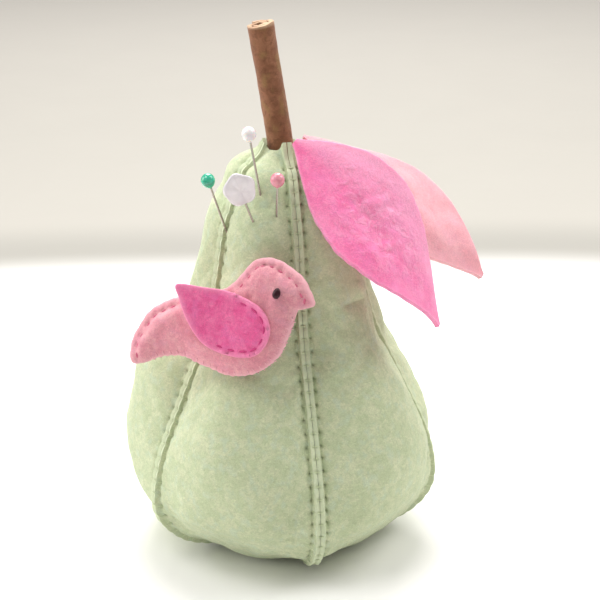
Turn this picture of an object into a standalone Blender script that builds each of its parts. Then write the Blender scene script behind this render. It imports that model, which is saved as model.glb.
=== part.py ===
"""Pear-shaped felt pin cushion: five stuffed gores, a rolled stem, two leaves, a bird and four pins.

The pear stands on z = 0 with its axis on the Z axis and its front towards -Y.
Lengths below are in millimetres, and MM turns them into Blender's metres.
"""

import math

import bmesh
import bpy
import numpy as np
from mathutils import Matrix, Vector
from mathutils.geometry import delaunay_2d_cdt

MM = 0.001
CURVE_STEPS = 24  # how finely a smooth curve is drawn between two of its points
BUTT_EDGE = 90  # degrees: a mesh with no sharp edges

# Felt and clearances
FELT = 1.2
GAP = 0.3
SEAM_GAP = 0.4

# Pear: the middle line of a seam ridge from the stem to the base, as (radius, height)
SEAM_LINE = [
    (5.4, 115.2),
    (12.7, 110.2),
    (16.0, 102.5),
    (19.0, 94.4),
    (21.3, 81.9),
    (25.3, 65.8),
    (33.3, 48.2),
    (41.0, 30.5),
    (42.6, 16.0),
    (35.5, 6.0),
    (24.0, 1.2),
    (14.0, 0.6),
    (4.2, 0.6),
]
GORES = ["front_right", "back_right", "back", "left", "front_left"]
PINNED_GORE = "front_left"
FIRST_SEAM = 12.0  # degrees from -Y towards +X: the front seam
STATIONS = 24
RIDGE = 1.8  # how far a seam ridge stands out of the felt beside it
BASE_RIDGE = 1.2
# Shares of the seam's length between which the ridge flattens
BASE_RIDGE_FROM = 0.86
BASE_RIDGE_TO = 0.95
# How far the middle of a gore stands out of the line between its seams, by share of the length
BULGE = [
    (0.0, 1.6),
    (0.1, 3.0),
    (0.25, 3.8),
    (0.4, 4.9),
    (0.5, 5.7),
    (0.58, 5.0),
    (0.66, 1.0),
    (0.74, -3.2),
    (0.82, -1.8),
    (0.88, 1.2),
    (1.0, 1.2),
]
BULGE_STEPS = 200
# Gores stuffed fuller or slacker than the others, as bumps of (height, share, spread)
FULLNESS = {
    "left": [(5.5, 0.455, 0.085), (2.2, 0.66, 0.12)],
    "back_right": [(-1.6, 0.47, 0.1)],
}
STEEPEST = 0.9  # limit on the sine of a seam allowance's half angle
ACROSS = [-1.0, -0.7, -0.35, 0.0, 0.35, 0.7, 1.0]
FILLING_GAP = 0.6
FILLING_FLOOR = 3.2
FILLING_TOP = 3  # the station where the filling starts
THREAD_RADIUS = 0.25
THREAD_FROM = 2  # the station where the seam thread starts, clear of the leaves
THREAD_UP_TO = 0.86
TACK_RADIUS = 2.5
TACK_SIDES = 20

# Stem: a strip of felt rolled up
STEM_RADIUS = 4.4
STEM_CORE = 0.5
STEM_LENGTH = 48.7
STEM_FOOT = (1.4, 0.4, 101.6)
STEM_LEAN_LEFT = 8.3
STEM_LEAN_FRONT = 4.0
STEM_CLEARANCE = 0.35
STEM_STEPS = 16  # flats in one turn of the roll
STEM_SPIN = -105.0  # degrees about the stem at which the roll starts
STEM_SIDES = 24

# Leaves
LEAF_LENGTH = 65.5
LEAF_HALF_WIDTH = 16.8
LEAF_ROOT_POWER = 1.2
LEAF_TIP_POWER = 1.3
LEAF_BLUNT = 1.0
LEAF_CAMBER = 0.004
LEAF_STATIONS = 14
LEAF_SIDES = [-1, -0.5, 0, 0.5, 1]
# Each leaf: root, then heading, rise and roll in degrees at the root and at the tip
LEAVES = {
    "leaf_front": ((3.4, -6.6, 118.3), (-28, 5), (-30, -72), (42, 18), LEAF_LENGTH),
    "leaf_back": ((5.8, 3.2, 117.8), (4, 9), (-25, -56), (12, 42), LEAF_LENGTH + 3),
}

# Bird: its plane leans back against the front left gore
BIRD_HEADING = -20.0
BIRD_LEAN = 20.0
BIRD_HEIGHT = 65.0
BIRD_STANDOFF = 30.3
BIRD_DOME = 2.6
BIRD_DOME_REACH = 6.0
BIRD_OUTLINE = [
    (4.9, 16.5), (9.8, 15.4), (14.3, 12.4), (17.2, 8.8), (18.3, 5.6), (16.0, 4.3), (14.0, 3.6),
    (12.9, -1.0), (11.4, -6.5), (8.0, -11.6), (3.2, -14.4), (-1.8, -15.5), (-9.0, -14.1),
    (-16.0, -12.0), (-22.0, -12.4), (-27.4, -14.7), (-30.8, -15.2), (-31.8, -12.4),
    (-30.4, -6.3), (-26.2, 0.0), (-19.4, 3.6), (-11.0, 5.6), (-5.2, 7.8), (-1.6, 12.0), (1.2, 15.3),
]
WING_OUTLINE = [
    (-17.6, 7.3), (-10.8, 7.2), (-4.6, 6.9), (0.8, 5.5), (5.6, 3.2), (8.3, -0.6), (8.3, -5.0),
    (5.6, -9.0), (1.0, -10.2), (-5.0, -9.5), (-10.0, -7.0), (-14.0, -2.0), (-16.6, 3.4),
]
WING_LIFT = 3.0
EYE_PLACE = (9.6, 7.6)
EYE_HALF_SIZE = (1.05, 1.5, 0.9)
EYE_GAP = 0.5
EYE_SIDES = (12, 8)
OUTLINE_STEPS = 50
WING_STEPS = 34
MESH_SPACING = 3.4
MESH_EDGE = 1.5
FILLING_INSET = 2.8
FILLING_KEEP = 0.98  # share of the inset that a point of the filling's outline must keep
FILLING_SPACING = 3.6
FILLING_EDGE = 1.6
FILLING_TOP_GAP = 0.72
WING_HINGE = -2.0  # local x where the wing starts to lift
WING_FREE = 17.0
WING_CURL = 1.5

# Pins: 38 mm ball-headed dressmaker's pins, and one with a flat flower head
PIN_LENGTH = 38.0
PIN_RADIUS = 0.3
PIN_POINT = 4.0
PIN_SIDES = 8
HEAD_SIDES = (14, 10)
HEAD_RADIUS = 1.9
HEAD_DRAW = 1.25  # how much longer the lower half of a ball head is than its upper half
HEAD_BORE = 0.5
HEAD_GRIP = 1.4  # how deep the shaft sits in its head
PIN_TIP = 0.15  # share of the shaft's radius left at its point
FLOWER_RADIUS = 4.5
FLOWER_STRETCH = 1.15  # how much longer the flower is along the shaft than across it
FLOWER_GRIP = 4.2
FLOWER_THICKNESS = 1.6
FLOWER_STEPS = 40
FLOWER_PETALS = 5
FLOWER_MEAN = 0.95  # share of the radius midway between a petal's tip and the notch beside it
FLOWER_FACES = (0.0, -0.94, 0.34)
BORE_EXTRA = 4.0
CHANNEL_RADIUS = 0.6
CHANNEL_ABOVE = 8.0
CHANNEL_BELOW = 1.0
# Each pin: where it enters the felt, which way it points out, and how much of it shows
PINS = {
    "white": ((-6.1, -15.4, 107.2), (-0.134, -0.325, 0.936), 17.5),
    "green": ((-16.3, -11.7, 98.0), (-0.255, -0.300, 0.920), 12.7),
    "flower": ((-8.1, -17.9, 99.8), (-0.302, -0.281, 0.911), 9.7),
    "pink": ((-1.7, -17.9, 101.0), (0.030, -0.400, 0.915), 11.5),
}

# Plain colours, by part
FELT_GREEN = (0.60, 0.65, 0.43)
THREAD_GREEN = (0.52, 0.60, 0.36)
STEM_BROWN = (0.27, 0.13, 0.075)
HOT_PINK = (0.83, 0.16, 0.38)
PALE_PINK = (0.85, 0.42, 0.48)
FIBRE_WHITE = (0.80, 0.79, 0.75)
HEAD_COLOURS = {
    "white": (0.86, 0.84, 0.86),
    "green": (0.04, 0.42, 0.26),
    "flower": (0.78, 0.74, 0.84),
    "pink": (0.80, 0.35, 0.42),
}
BEAD_DARK = (0.03, 0.005, 0.01)
STEEL_GREY = (0.6, 0.6, 0.6)
THREAD_ROUGHNESS = 0.8
GLOSSY = 0.25


def clear_scene():
    for obj in list(bpy.data.objects):
        bpy.data.objects.remove(obj, do_unlink=True)


def make_collection(name):
    collection = bpy.data.collections.new(name)
    bpy.context.scene.collection.children.link(collection)
    return collection


def make_material(name, colour, roughness=0.95, metallic=0.0):
    material = bpy.data.materials.new(name)
    material.use_nodes = True
    shader = material.node_tree.nodes["Principled BSDF"]
    shader.inputs["Base Color"].default_value = (*colour, 1.0)
    shader.inputs["Roughness"].default_value = roughness
    shader.inputs["Metallic"].default_value = metallic
    return material


def add_object(name, data, material, collection, matrix=None):
    obj = bpy.data.objects.new(name, data)
    collection.objects.link(obj)
    data.materials.append(material)
    if matrix is not None:
        obj.matrix_world = matrix
    return obj


def finish_mesh(bm, name, smooth_below=40):
    """A mesh in metres from a bmesh in millimetres, with its faces turned outwards."""
    bmesh.ops.recalc_face_normals(bm, faces=bm.faces)
    bmesh.ops.scale(bm, vec=(MM, MM, MM), verts=bm.verts)
    mesh = bpy.data.meshes.new(name)
    bm.to_mesh(mesh)
    bm.free()
    mesh.shade_smooth()
    mesh.set_sharp_from_angle(angle=math.radians(smooth_below))
    return mesh


def add_solidify(obj, thickness):
    modifier = obj.modifiers.new("felt", "SOLIDIFY")
    modifier.thickness = thickness * MM
    modifier.offset = 0.0
    modifier.use_even_offset = True


def cut(obj, cutter):
    modifier = obj.modifiers.new("cut " + cutter.name, "BOOLEAN")
    modifier.operation = "DIFFERENCE"
    modifier.use_self = True
    modifier.object = cutter


def make_cutter(name, bm, collection, matrix):
    obj = bpy.data.objects.new(name, finish_mesh(bm, name))
    collection.objects.link(obj)
    obj.matrix_world = matrix
    obj.hide_render = True
    obj.display_type = "WIRE"
    return obj


def add_cylinder(bm, radius, depth, sides):
    bmesh.ops.create_cone(
        bm, cap_ends=True, segments=sides, radius1=radius, radius2=radius, depth=depth
    )


def aim(origin, direction):
    """Matrix that puts local Z along direction at origin, which is in millimetres."""
    turn = Vector(direction).to_track_quat("Z", "Y").to_matrix().to_4x4()
    return Matrix.Translation(Vector(origin) * MM) @ turn


def smooth_curve(points, count, closed=False):
    """Points at equal spacing along a Catmull-Rom curve through the given ones."""
    given = np.array(points, float)
    if closed:
        padded = np.vstack([given[-1], given, given[0], given[1]])
    else:
        padded = np.vstack([2 * given[0] - given[1], given, 2 * given[-1] - given[-2]])
    fine = []
    for p0, p1, p2, p3 in zip(padded, padded[1:], padded[2:], padded[3:]):
        for t in np.linspace(0, 1, CURVE_STEPS, endpoint=False):
            fine.append(
                0.5 * (2 * p1 + (p2 - p0) * t + (2 * p0 - 5 * p1 + 4 * p2 - p3) * t**2
                       + (3 * p1 - p0 - 3 * p2 + p3) * t**3)
            )
    fine.append(given[0] if closed else given[-1])
    fine = np.array(fine)
    run = np.concatenate([[0], np.cumsum(np.linalg.norm(np.diff(fine, axis=0), axis=1))])
    at = np.linspace(0, run[-1], count + 1 if closed else count)
    found = np.stack([np.interp(at, run, fine[:, i]) for i in range(given.shape[1])], axis=1)
    return found[:-1] if closed else found


class Seam:
    """The seam line at equal steps, with its outward normal, ridge height and gore bulge."""

    def __init__(self, count):
        self.line = smooth_curve(SEAM_LINE, count)
        along = np.gradient(self.line, axis=0)
        along /= np.linalg.norm(along, axis=1)[:, None]
        self.normal = np.stack([-along[:, 1], along[:, 0]], axis=1)
        self.share = np.linspace(0, 1, count)
        fade = (self.share - BASE_RIDGE_FROM) / (BASE_RIDGE_TO - BASE_RIDGE_FROM)
        self.ridge = RIDGE + (BASE_RIDGE - RIDGE) * np.clip(fade, 0, 1)
        self.line[:, 1] = np.maximum(self.line[:, 1], BASE_RIDGE / 2)
        knots = smooth_curve(BULGE, BULGE_STEPS)
        common = np.interp(self.share, knots[:, 0], knots[:, 1])
        self.bulge = [common + self.fullness(gore) for gore in GORES]

    def fullness(self, gore):
        bumps = [
            height * np.exp(-(((self.share - share) / spread) ** 2))
            for height, share, spread in FULLNESS.get(gore, [])
        ]
        return sum(bumps, np.zeros(len(self.share)))

    def offset(self, i, out):
        """(radius, height) of station i, moved out along the normal."""
        return self.line[i] + self.normal[i] * out


def seam_direction(number):
    angle = math.radians(FIRST_SEAM + 72 * number)
    return Vector((math.sin(angle), -math.cos(angle), 0))


def gore_point(seam, number, i, across, depth):
    """Point of a gore's body. across runs from -1 to 1 between its seams, depth is into the felt."""
    edge = seam.offset(i, -seam.ridge[i] / 2)
    inset = math.asin(min((SEAM_GAP + FELT) / 2 / edge[0], STEEPEST))
    middle = math.radians(FIRST_SEAM + 72 * number + 36)
    angle = middle + across * (math.radians(36) - inset)
    radius, height = edge + seam.normal[i] * (seam.bulge[number][i] * (1 - across**2) - depth)
    return Vector((radius * math.sin(angle), -radius * math.cos(angle), max(height, depth)))


def ridge_point(seam, number, i, side, out):
    """Point in the upstanding edge of a gore, on one side (-1 or 1) of a seam."""
    radius, height = seam.offset(i, out)
    outward = seam_direction(number)
    beside = Vector((-outward.y, outward.x, 0))
    return outward * radius + beside * (side * (SEAM_GAP + FELT) / 2) + Vector((0, 0, max(height, 0)))


def make_gore(number, material, collection, cutters):
    """One felt gore, its two long edges turned out to form half of each seam ridge."""
    seam = Seam(STATIONS)
    bm = bmesh.new()
    rows = []
    for i in range(STATIONS):
        crest = seam.ridge[i] / 2
        points = [ridge_point(seam, number, i, 1, crest)]
        points += [gore_point(seam, number, i, across, FELT / 2) for across in ACROSS]
        points.append(ridge_point(seam, number + 1, i, -1, crest))
        rows.append([bm.verts.new(point) for point in points])
    for upper, lower in zip(rows, rows[1:]):
        for a, b, c, d in zip(upper, upper[1:], lower[1:], lower):
            bm.faces.new((a, d, c, b))
    name = "panel_" + GORES[number]
    obj = add_object(name, finish_mesh(bm, name), material, collection)
    add_solidify(obj, FELT)
    for cutter in cutters:
        cut(obj, cutter)
    return obj


def make_filling(material, collection, cutters):
    """The packed fibre: a loft through the inside of the gores, open for the stem and the pins."""
    seam = Seam(STATIONS)
    bm = bmesh.new()
    rings = []
    for i in range(FILLING_TOP, STATIONS - 1):
        ring = []
        for number in range(len(GORES)):
            for across in ACROSS:
                point = gore_point(seam, number, i, across, FELT + FILLING_GAP)
                point.z = max(point.z, FILLING_FLOOR)
                ring.append(bm.verts.new(point))
        rings.append(ring)
    for upper, lower in zip(rings, rings[1:]):
        for k in range(len(upper)):
            after = (k + 1) % len(upper)
            bm.faces.new((upper[k], lower[k], lower[after], upper[after]))
    bm.faces.new(rings[0])
    bm.faces.new(rings[-1])
    obj = add_object("stuffing", finish_mesh(bm, "stuffing"), material, collection)
    for cutter in cutters:
        cut(obj, cutter)
    return obj


def make_tube(name, points, radius, material, collection):
    curve = bpy.data.curves.new(name, "CURVE")
    curve.dimensions = "3D"
    curve.bevel_depth = radius * MM
    curve.bevel_resolution = 1
    curve.use_fill_caps = True
    spline = curve.splines.new("POLY")
    spline.points.add(len(points) - 1)
    for target, point in zip(spline.points, points):
        target.co = (*(Vector(point) * MM), 1)
        target.radius = 1.0
    return add_object(name, curve, material, collection)


def make_seam_thread(number, material, collection):
    """A plain tube along a ridge's crest, in the place of the stitches that close it."""
    seam = Seam(STATIONS)
    points = []
    for i in range(THREAD_FROM, STATIONS):
        if seam.share[i] > THREAD_UP_TO:
            break
        out = seam.ridge[i] / 2 + GAP + THREAD_RADIUS
        radius, height = seam.offset(i, out)
        points.append(seam_direction(number) * radius + Vector((0, 0, height)))
    return make_tube(f"seam_thread_{number + 1}", points, THREAD_RADIUS, material, collection)


def make_base_tack(material, collection):
    bm = bmesh.new()
    add_cylinder(bm, TACK_RADIUS, FELT, TACK_SIDES)
    matrix = Matrix.Translation((0, 0, FELT / 2 * MM))
    return add_object("base_tack", finish_mesh(bm, "base_tack"), material, collection, matrix)


def stem_matrix():
    lean = Vector(
        (-math.tan(math.radians(STEM_LEAN_LEFT)), -math.tan(math.radians(STEM_LEAN_FRONT)), 1)
    )
    return aim(STEM_FOOT, lean.normalized())


def make_stem(material, collection):
    """A felt strip rolled into a spiral, as a flat outline with a height."""
    pitch = FELT + GAP
    turns = (STEM_RADIUS - STEM_CORE - FELT) / pitch
    steps = round(turns * STEM_STEPS)
    outer = []
    inner = []
    for k in range(steps + 1):
        angle = 2 * math.pi * turns * k / steps + math.radians(STEM_SPIN)
        radius = STEM_CORE + pitch * turns * k / steps
        direction = Vector((math.cos(angle), math.sin(angle), 0))
        inner.append(direction * radius)
        outer.append(direction * (radius + FELT))
    curve = bpy.data.curves.new("stem", "CURVE")
    curve.dimensions = "2D"
    curve.fill_mode = "BOTH"
    curve.extrude = STEM_LENGTH / 2 * MM
    outline = inner + outer[::-1]
    spline = curve.splines.new("POLY")
    spline.points.add(len(outline) - 1)
    for target, point in zip(spline.points, outline):
        target.co = (*(point * MM), 1)
    spline.use_cyclic_u = True
    matrix = stem_matrix() @ Matrix.Translation((0, 0, STEM_LENGTH / 2 * MM))
    return add_object("stem", curve, material, collection, matrix)


def make_stem_cutter(collection):
    bm = bmesh.new()
    add_cylinder(bm, STEM_RADIUS + STEM_CLEARANCE, STEM_LENGTH, STEM_SIDES)
    matrix = stem_matrix() @ Matrix.Translation((0, 0, (STEM_LENGTH / 2 - GAP) * MM))
    return make_cutter("stem_clearance", bm, collection, matrix)


def leaf_frames(name):
    """Along a leaf: the middle line, the direction to its upper edge, its normal and half width."""
    root, heading, rise, roll, length = LEAVES[name]
    widest = LEAF_ROOT_POWER / (LEAF_ROOT_POWER + LEAF_TIP_POWER)
    step = length / (LEAF_STATIONS - 1)
    middle = Vector(root)
    before = None
    frames = []
    for i in range(LEAF_STATIONS):
        s = i / (LEAF_STATIONS - 1)
        angle, climb, twist = (
            math.radians(start + (end - start) * s) for start, end in (heading, rise, roll)
        )
        along = Vector(
            (math.cos(climb) * math.cos(angle), math.cos(climb) * math.sin(angle), math.sin(climb))
        )
        level = Vector((-math.sin(angle), math.cos(angle), 0))
        across = level * math.cos(twist) + along.cross(level) * math.sin(twist)
        if before is not None:
            middle = middle + (before + along) * (step / 2)
        before = along
        shape = (s / widest) ** LEAF_ROOT_POWER * ((1 - s) / (1 - widest)) ** LEAF_TIP_POWER
        half = LEAF_BLUNT + (LEAF_HALF_WIDTH - LEAF_BLUNT) * shape
        frames.append((middle.copy(), across, along.cross(across), half))
    return frames


def make_leaf(name, material, collection):
    """A drooping felt leaf, its origin at the stitched root that it bends about."""
    root = Vector(LEAVES[name][0])
    bm = bmesh.new()
    rows = []
    for middle, across, normal, half in leaf_frames(name):
        row = []
        for side in LEAF_SIDES:
            sag = normal * (LEAF_CAMBER * (side * half) ** 2)
            row.append(bm.verts.new(middle + across * (side * half) - sag - root))
        rows.append(row)
    for upper, lower in zip(rows, rows[1:]):
        for a, b, c, d in zip(upper, upper[1:], lower[1:], lower):
            bm.faces.new((a, b, c, d))
    matrix = Matrix.Translation(root * MM)
    obj = add_object(name, finish_mesh(bm, name), material, collection, matrix)
    add_solidify(obj, FELT)
    return obj


def bird_matrix():
    """Local X along the bird towards its beak, local Y up it, local Z out of the pear."""
    heading = math.radians(BIRD_HEADING)
    lean = math.radians(BIRD_LEAN)
    out = Vector(
        (math.sin(heading) * math.cos(lean), -math.cos(heading) * math.cos(lean), math.sin(lean))
    )
    along = Vector((math.cos(heading), math.sin(heading), 0))
    turn = Matrix((along, out.cross(along), out)).transposed().to_4x4()
    place = Vector((0, 0, BIRD_HEIGHT)) + out * BIRD_STANDOFF
    return Matrix.Translation(place * MM) @ turn


def distance_to(outline, point):
    start = outline
    point = np.array(point)
    step = np.roll(outline, -1, axis=0) - outline
    share = ((point - start) * step).sum(axis=1) / (step**2).sum(axis=1)
    nearest = start + step * np.clip(share, 0, 1)[:, None]
    return float(np.min(np.linalg.norm(nearest - point, axis=1)))


def inside(outline, point):
    x, y = point
    crossings = 0
    for (x0, y0), (x1, y1) in zip(outline, np.roll(outline, -1, axis=0)):
        if (y0 > y) != (y1 > y) and x < x0 + (y - y0) / (y1 - y0) * (x1 - x0):
            crossings += 1
    return crossings % 2 == 1


def dome(outline, point):
    """How far the padded front stands up at a point of the bird's plane."""
    if not inside(outline, point):
        return 0.0
    reach = min(distance_to(outline, point) / BIRD_DOME_REACH, 1.0)
    return BIRD_DOME * math.sin(reach * math.pi / 2)


def filled_outline(outline, spacing, edge):
    """A bmesh of triangles that fills an outline, with inner points spacing apart."""
    points = [Vector(point) for point in outline]
    low, high = outline.min(axis=0), outline.max(axis=0)
    for x in np.arange(low[0] + spacing / 2, high[0], spacing):
        for y in np.arange(low[1] + spacing / 2, high[1], spacing):
            if inside(outline, (x, y)) and distance_to(outline, np.array((x, y))) > edge:
                points.append(Vector((x, y)))
    count = len(outline)
    edges = [(i, (i + 1) % count) for i in range(count)]
    found = delaunay_2d_cdt(points, edges, [list(range(count))], 1, 1e-6)
    bm = bmesh.new()
    verts = [bm.verts.new((*point, 0)) for point in found[0]]
    for face in found[2]:
        bm.faces.new([verts[i] for i in face])
    return bm


def make_flat_felt(name, outline, material, collection, matrix):
    curve = bpy.data.curves.new(name, "CURVE")
    curve.dimensions = "2D"
    curve.fill_mode = "BOTH"
    curve.extrude = FELT / 2 * MM
    spline = curve.splines.new("POLY")
    spline.points.add(len(outline) - 1)
    for target, point in zip(spline.points, outline):
        target.co = (point[0] * MM, point[1] * MM, 0, 1)
    spline.use_cyclic_u = True
    return add_object(name, curve, material, collection, matrix)


def raise_verts(bm, height):
    for vert in bm.verts:
        vert.co.z = height((vert.co.x, vert.co.y))


def make_bird(materials, collection):
    """Two felt layers with filling between them, a wing with a free rear tip, and a bead eye."""
    outline = smooth_curve(BIRD_OUTLINE, OUTLINE_STEPS, closed=True)
    place = bird_matrix()
    front_level = 1.5 * FELT + GAP

    back_place = place @ Matrix.Translation((0, 0, FELT / 2 * MM))
    make_flat_felt("bird_back", outline, materials["pale_pink"], collection, back_place)

    bm = filled_outline(outline, MESH_SPACING, MESH_EDGE)
    raise_verts(bm, lambda point: front_level + dome(outline, point))
    mesh = finish_mesh(bm, "bird_front")
    front = add_object("bird_front", mesh, materials["pale_pink"], collection, place)
    add_solidify(front, FELT)

    inner = []
    for before, here, after in zip(np.roll(outline, 1, 0), outline, np.roll(outline, -1, 0)):
        along = (after - before) / np.linalg.norm(after - before)
        for side in (-1, 1):
            point = here + np.array((-along[1], along[0])) * side * FILLING_INSET
            if inside(outline, point) and distance_to(outline, point) > FILLING_KEEP * FILLING_INSET:
                inner.append(point)
    bm = filled_outline(np.array(inner), FILLING_SPACING, FILLING_EDGE)
    grown = bmesh.ops.extrude_face_region(bm, geom=bm.faces[:])
    tops = [item for item in grown["geom"] if isinstance(item, bmesh.types.BMVert)]
    for vert in bm.verts:
        vert.co.z = FELT + GAP
    for vert in tops:
        vert.co.z = front_level + dome(outline, vert.co.xy) - FELT / 2 - FILLING_TOP_GAP
    mesh = finish_mesh(bm, "bird_filling")
    add_object("bird_filling", mesh, materials["fibre"], collection, place)

    wing = smooth_curve(WING_OUTLINE, WING_STEPS, closed=True)
    wing_level = front_level + FELT + 2 * GAP

    def wing_height(point):
        free = min(max((WING_HINGE - point[0]) / WING_FREE, 0), 1)
        lift = WING_LIFT * free**WING_CURL
        return wing_level + max(dome(outline, point), BIRD_DOME * free) + lift

    bm = filled_outline(wing, MESH_SPACING, MESH_EDGE)
    raise_verts(bm, wing_height)
    obj = add_object("wing", finish_mesh(bm, "wing"), materials["hot_pink"], collection, place)
    add_solidify(obj, FELT)

    bm = bmesh.new()
    around, rings = EYE_SIDES
    bmesh.ops.create_uvsphere(bm, u_segments=around, v_segments=rings, radius=1.0)
    bmesh.ops.scale(bm, vec=EYE_HALF_SIZE, verts=bm.verts)
    level = front_level + dome(outline, EYE_PLACE) + FELT / 2 + EYE_GAP + EYE_HALF_SIZE[2]
    eye_place = place @ Matrix.Translation(Vector((*EYE_PLACE, level)) * MM)
    mesh = finish_mesh(bm, "eye_bead", BUTT_EDGE)
    add_object("eye_bead", mesh, materials["bead"], collection, eye_place)


def make_pin_cutter(name, collection):
    """The way a pin takes through the felt and the filling, as far as its head lets it go."""
    entry, direction, _ = PINS[name]
    below = PIN_LENGTH + CHANNEL_BELOW
    depth = below + CHANNEL_ABOVE
    bm = bmesh.new()
    add_cylinder(bm, CHANNEL_RADIUS, depth, PIN_SIDES)
    unit = Vector(direction).normalized()
    middle = Vector(entry) + unit * (CHANNEL_ABOVE - below) / 2
    return make_cutter(f"pin_way_{name}", bm, collection, aim(middle, unit))


def make_shaft(name, matrix, material, collection):
    """Origin at the top of the shaft, which points along local -Z."""
    bm = bmesh.new()
    straight = PIN_LENGTH - PIN_POINT
    add_cylinder(bm, PIN_RADIUS, straight, PIN_SIDES)
    bmesh.ops.translate(bm, vec=(0, 0, -straight / 2), verts=bm.verts)
    low = [face for face in bm.faces if face.normal.z < -math.sqrt(0.5)]
    point = bmesh.ops.extrude_face_region(bm, geom=low)
    bmesh.ops.delete(bm, geom=low, context="FACES_ONLY")
    tip = [item for item in point["geom"] if isinstance(item, bmesh.types.BMVert)]
    bmesh.ops.translate(bm, vec=(0, 0, -PIN_POINT), verts=tip)
    centre = Vector((0, 0, -PIN_LENGTH))
    for vert in tip:
        vert.co = centre + (vert.co - centre) * PIN_TIP
    mesh = finish_mesh(bm, f"pin_shaft_{name}")
    return add_object(f"pin_shaft_{name}", mesh, material, collection, matrix)


def make_ball_head(name, matrix, material, collection, cutters):
    """A glass ball drawn down a little along the shaft, which it is moulded onto."""
    bm = bmesh.new()
    around, rings = HEAD_SIDES
    bmesh.ops.create_uvsphere(bm, u_segments=around, v_segments=rings, radius=HEAD_RADIUS)
    for vert in bm.verts:
        if vert.co.z < 0:
            vert.co.z *= HEAD_DRAW
    centre = HEAD_RADIUS * HEAD_DRAW - HEAD_GRIP
    bmesh.ops.translate(bm, vec=(0, 0, centre), verts=bm.verts)
    mesh = finish_mesh(bm, f"pin_head_{name}", BUTT_EDGE)
    obj = add_object(f"pin_head_{name}", mesh, material, collection, matrix)
    bore_head(obj, name, matrix, HEAD_GRIP, cutters)


def flower_turn(matrix):
    """Rotation about the shaft that brings local -Y round to the side the flower faces."""
    wanted = matrix.to_3x3().inverted() @ Vector(FLOWER_FACES)
    return Matrix.Rotation(math.atan2(wanted.x, -wanted.y), 4, "Z")


def make_flower_head(name, matrix, material, collection, cutters):
    """A flat five-petalled head that stands edge-on to the shaft and faces the front."""
    outline = []
    for k in range(FLOWER_STEPS):
        angle = 2 * math.pi * k / FLOWER_STEPS
        lobe = (1 - FLOWER_MEAN) * math.sin(FLOWER_PETALS * angle)
        radius = FLOWER_RADIUS * (FLOWER_MEAN + lobe)
        height = radius * math.sin(angle) * FLOWER_STRETCH
        outline.append((radius * math.cos(angle), -FLOWER_THICKNESS / 2, height))
    bm = bmesh.new()
    face = bm.faces.new([bm.verts.new(point) for point in outline])
    grown = bmesh.ops.extrude_face_region(bm, geom=[face])
    backs = [item for item in grown["geom"] if isinstance(item, bmesh.types.BMVert)]
    bmesh.ops.translate(bm, vec=(0, FLOWER_THICKNESS, 0), verts=backs)
    centre = FLOWER_RADIUS * FLOWER_STRETCH * FLOWER_MEAN - FLOWER_GRIP
    bmesh.ops.translate(bm, vec=(0, 0, centre), verts=bm.verts)
    mesh = finish_mesh(bm, f"pin_head_{name}")
    place = matrix @ flower_turn(matrix)
    obj = add_object(f"pin_head_{name}", mesh, material, collection, place)
    bore_head(obj, name, matrix, FLOWER_GRIP, cutters)


def bore_head(head, name, matrix, grip, cutters):
    bm = bmesh.new()
    depth = grip + GAP + BORE_EXTRA
    add_cylinder(bm, HEAD_BORE, depth, PIN_SIDES)
    place = matrix @ Matrix.Translation((0, 0, (GAP - depth / 2) * MM))
    cut(head, make_cutter(f"head_bore_{name}", bm, cutters, place))


def make_pin(name, steel, collection, cutters):
    entry, direction, shown = PINS[name]
    unit = Vector(direction).normalized()
    matrix = aim(Vector(entry) + unit * shown, unit)
    make_shaft(name, matrix, steel, collection)
    glass = make_material(f"head_{name}", HEAD_COLOURS[name], GLOSSY)
    build = make_flower_head if name == "flower" else make_ball_head
    build(name, matrix, glass, collection, cutters)


def main():
    clear_scene()
    parts = make_collection("pear_pin_cushion")
    cutters = make_collection("cutters")
    materials = {
        "green": make_material("green_felt", FELT_GREEN),
        "thread": make_material("green_thread", THREAD_GREEN, THREAD_ROUGHNESS),
        "brown": make_material("brown_felt", STEM_BROWN),
        "hot_pink": make_material("hot_pink_felt", HOT_PINK),
        "pale_pink": make_material("pale_pink_felt", PALE_PINK),
        "fibre": make_material("white_fibre", FIBRE_WHITE),
        "bead": make_material("dark_bead", BEAD_DARK, GLOSSY),
        "steel": make_material("steel", STEEL_GREY, GLOSSY, 1.0),
    }
    stem_way = make_stem_cutter(cutters)
    pin_ways = {name: make_pin_cutter(name, cutters) for name in PINS}
    for number, gore in enumerate(GORES):
        ways = [stem_way]
        if gore == PINNED_GORE:
            ways += list(pin_ways.values())
        make_gore(number, materials["green"], parts, ways)
        make_seam_thread(number, materials["thread"], parts)
    make_filling(materials["fibre"], parts, [stem_way] + list(pin_ways.values()))
    make_base_tack(materials["thread"], parts)
    make_stem(materials["brown"], parts)
    make_leaf("leaf_front", materials["hot_pink"], parts)
    make_leaf("leaf_back", materials["pale_pink"], parts)
    make_bird(materials, parts)
    for name in PINS:
        make_pin(name, materials["steel"], parts, cutters)


main()
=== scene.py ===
"""Looks of the pear-shaped felt pin cushion: fine felt, stitches, pins, floor, light and camera.

Sizes and places below are in millimetres, in the CAD's frame, and MM turns them into metres.
The pear stands on z = 0 with its axis on the Z axis and its front towards -Y.
"""

import math

import bmesh
import bpy
import numpy as np
from mathutils import Matrix, Vector
from mathutils.geometry import delaunay_2d_cdt


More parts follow.
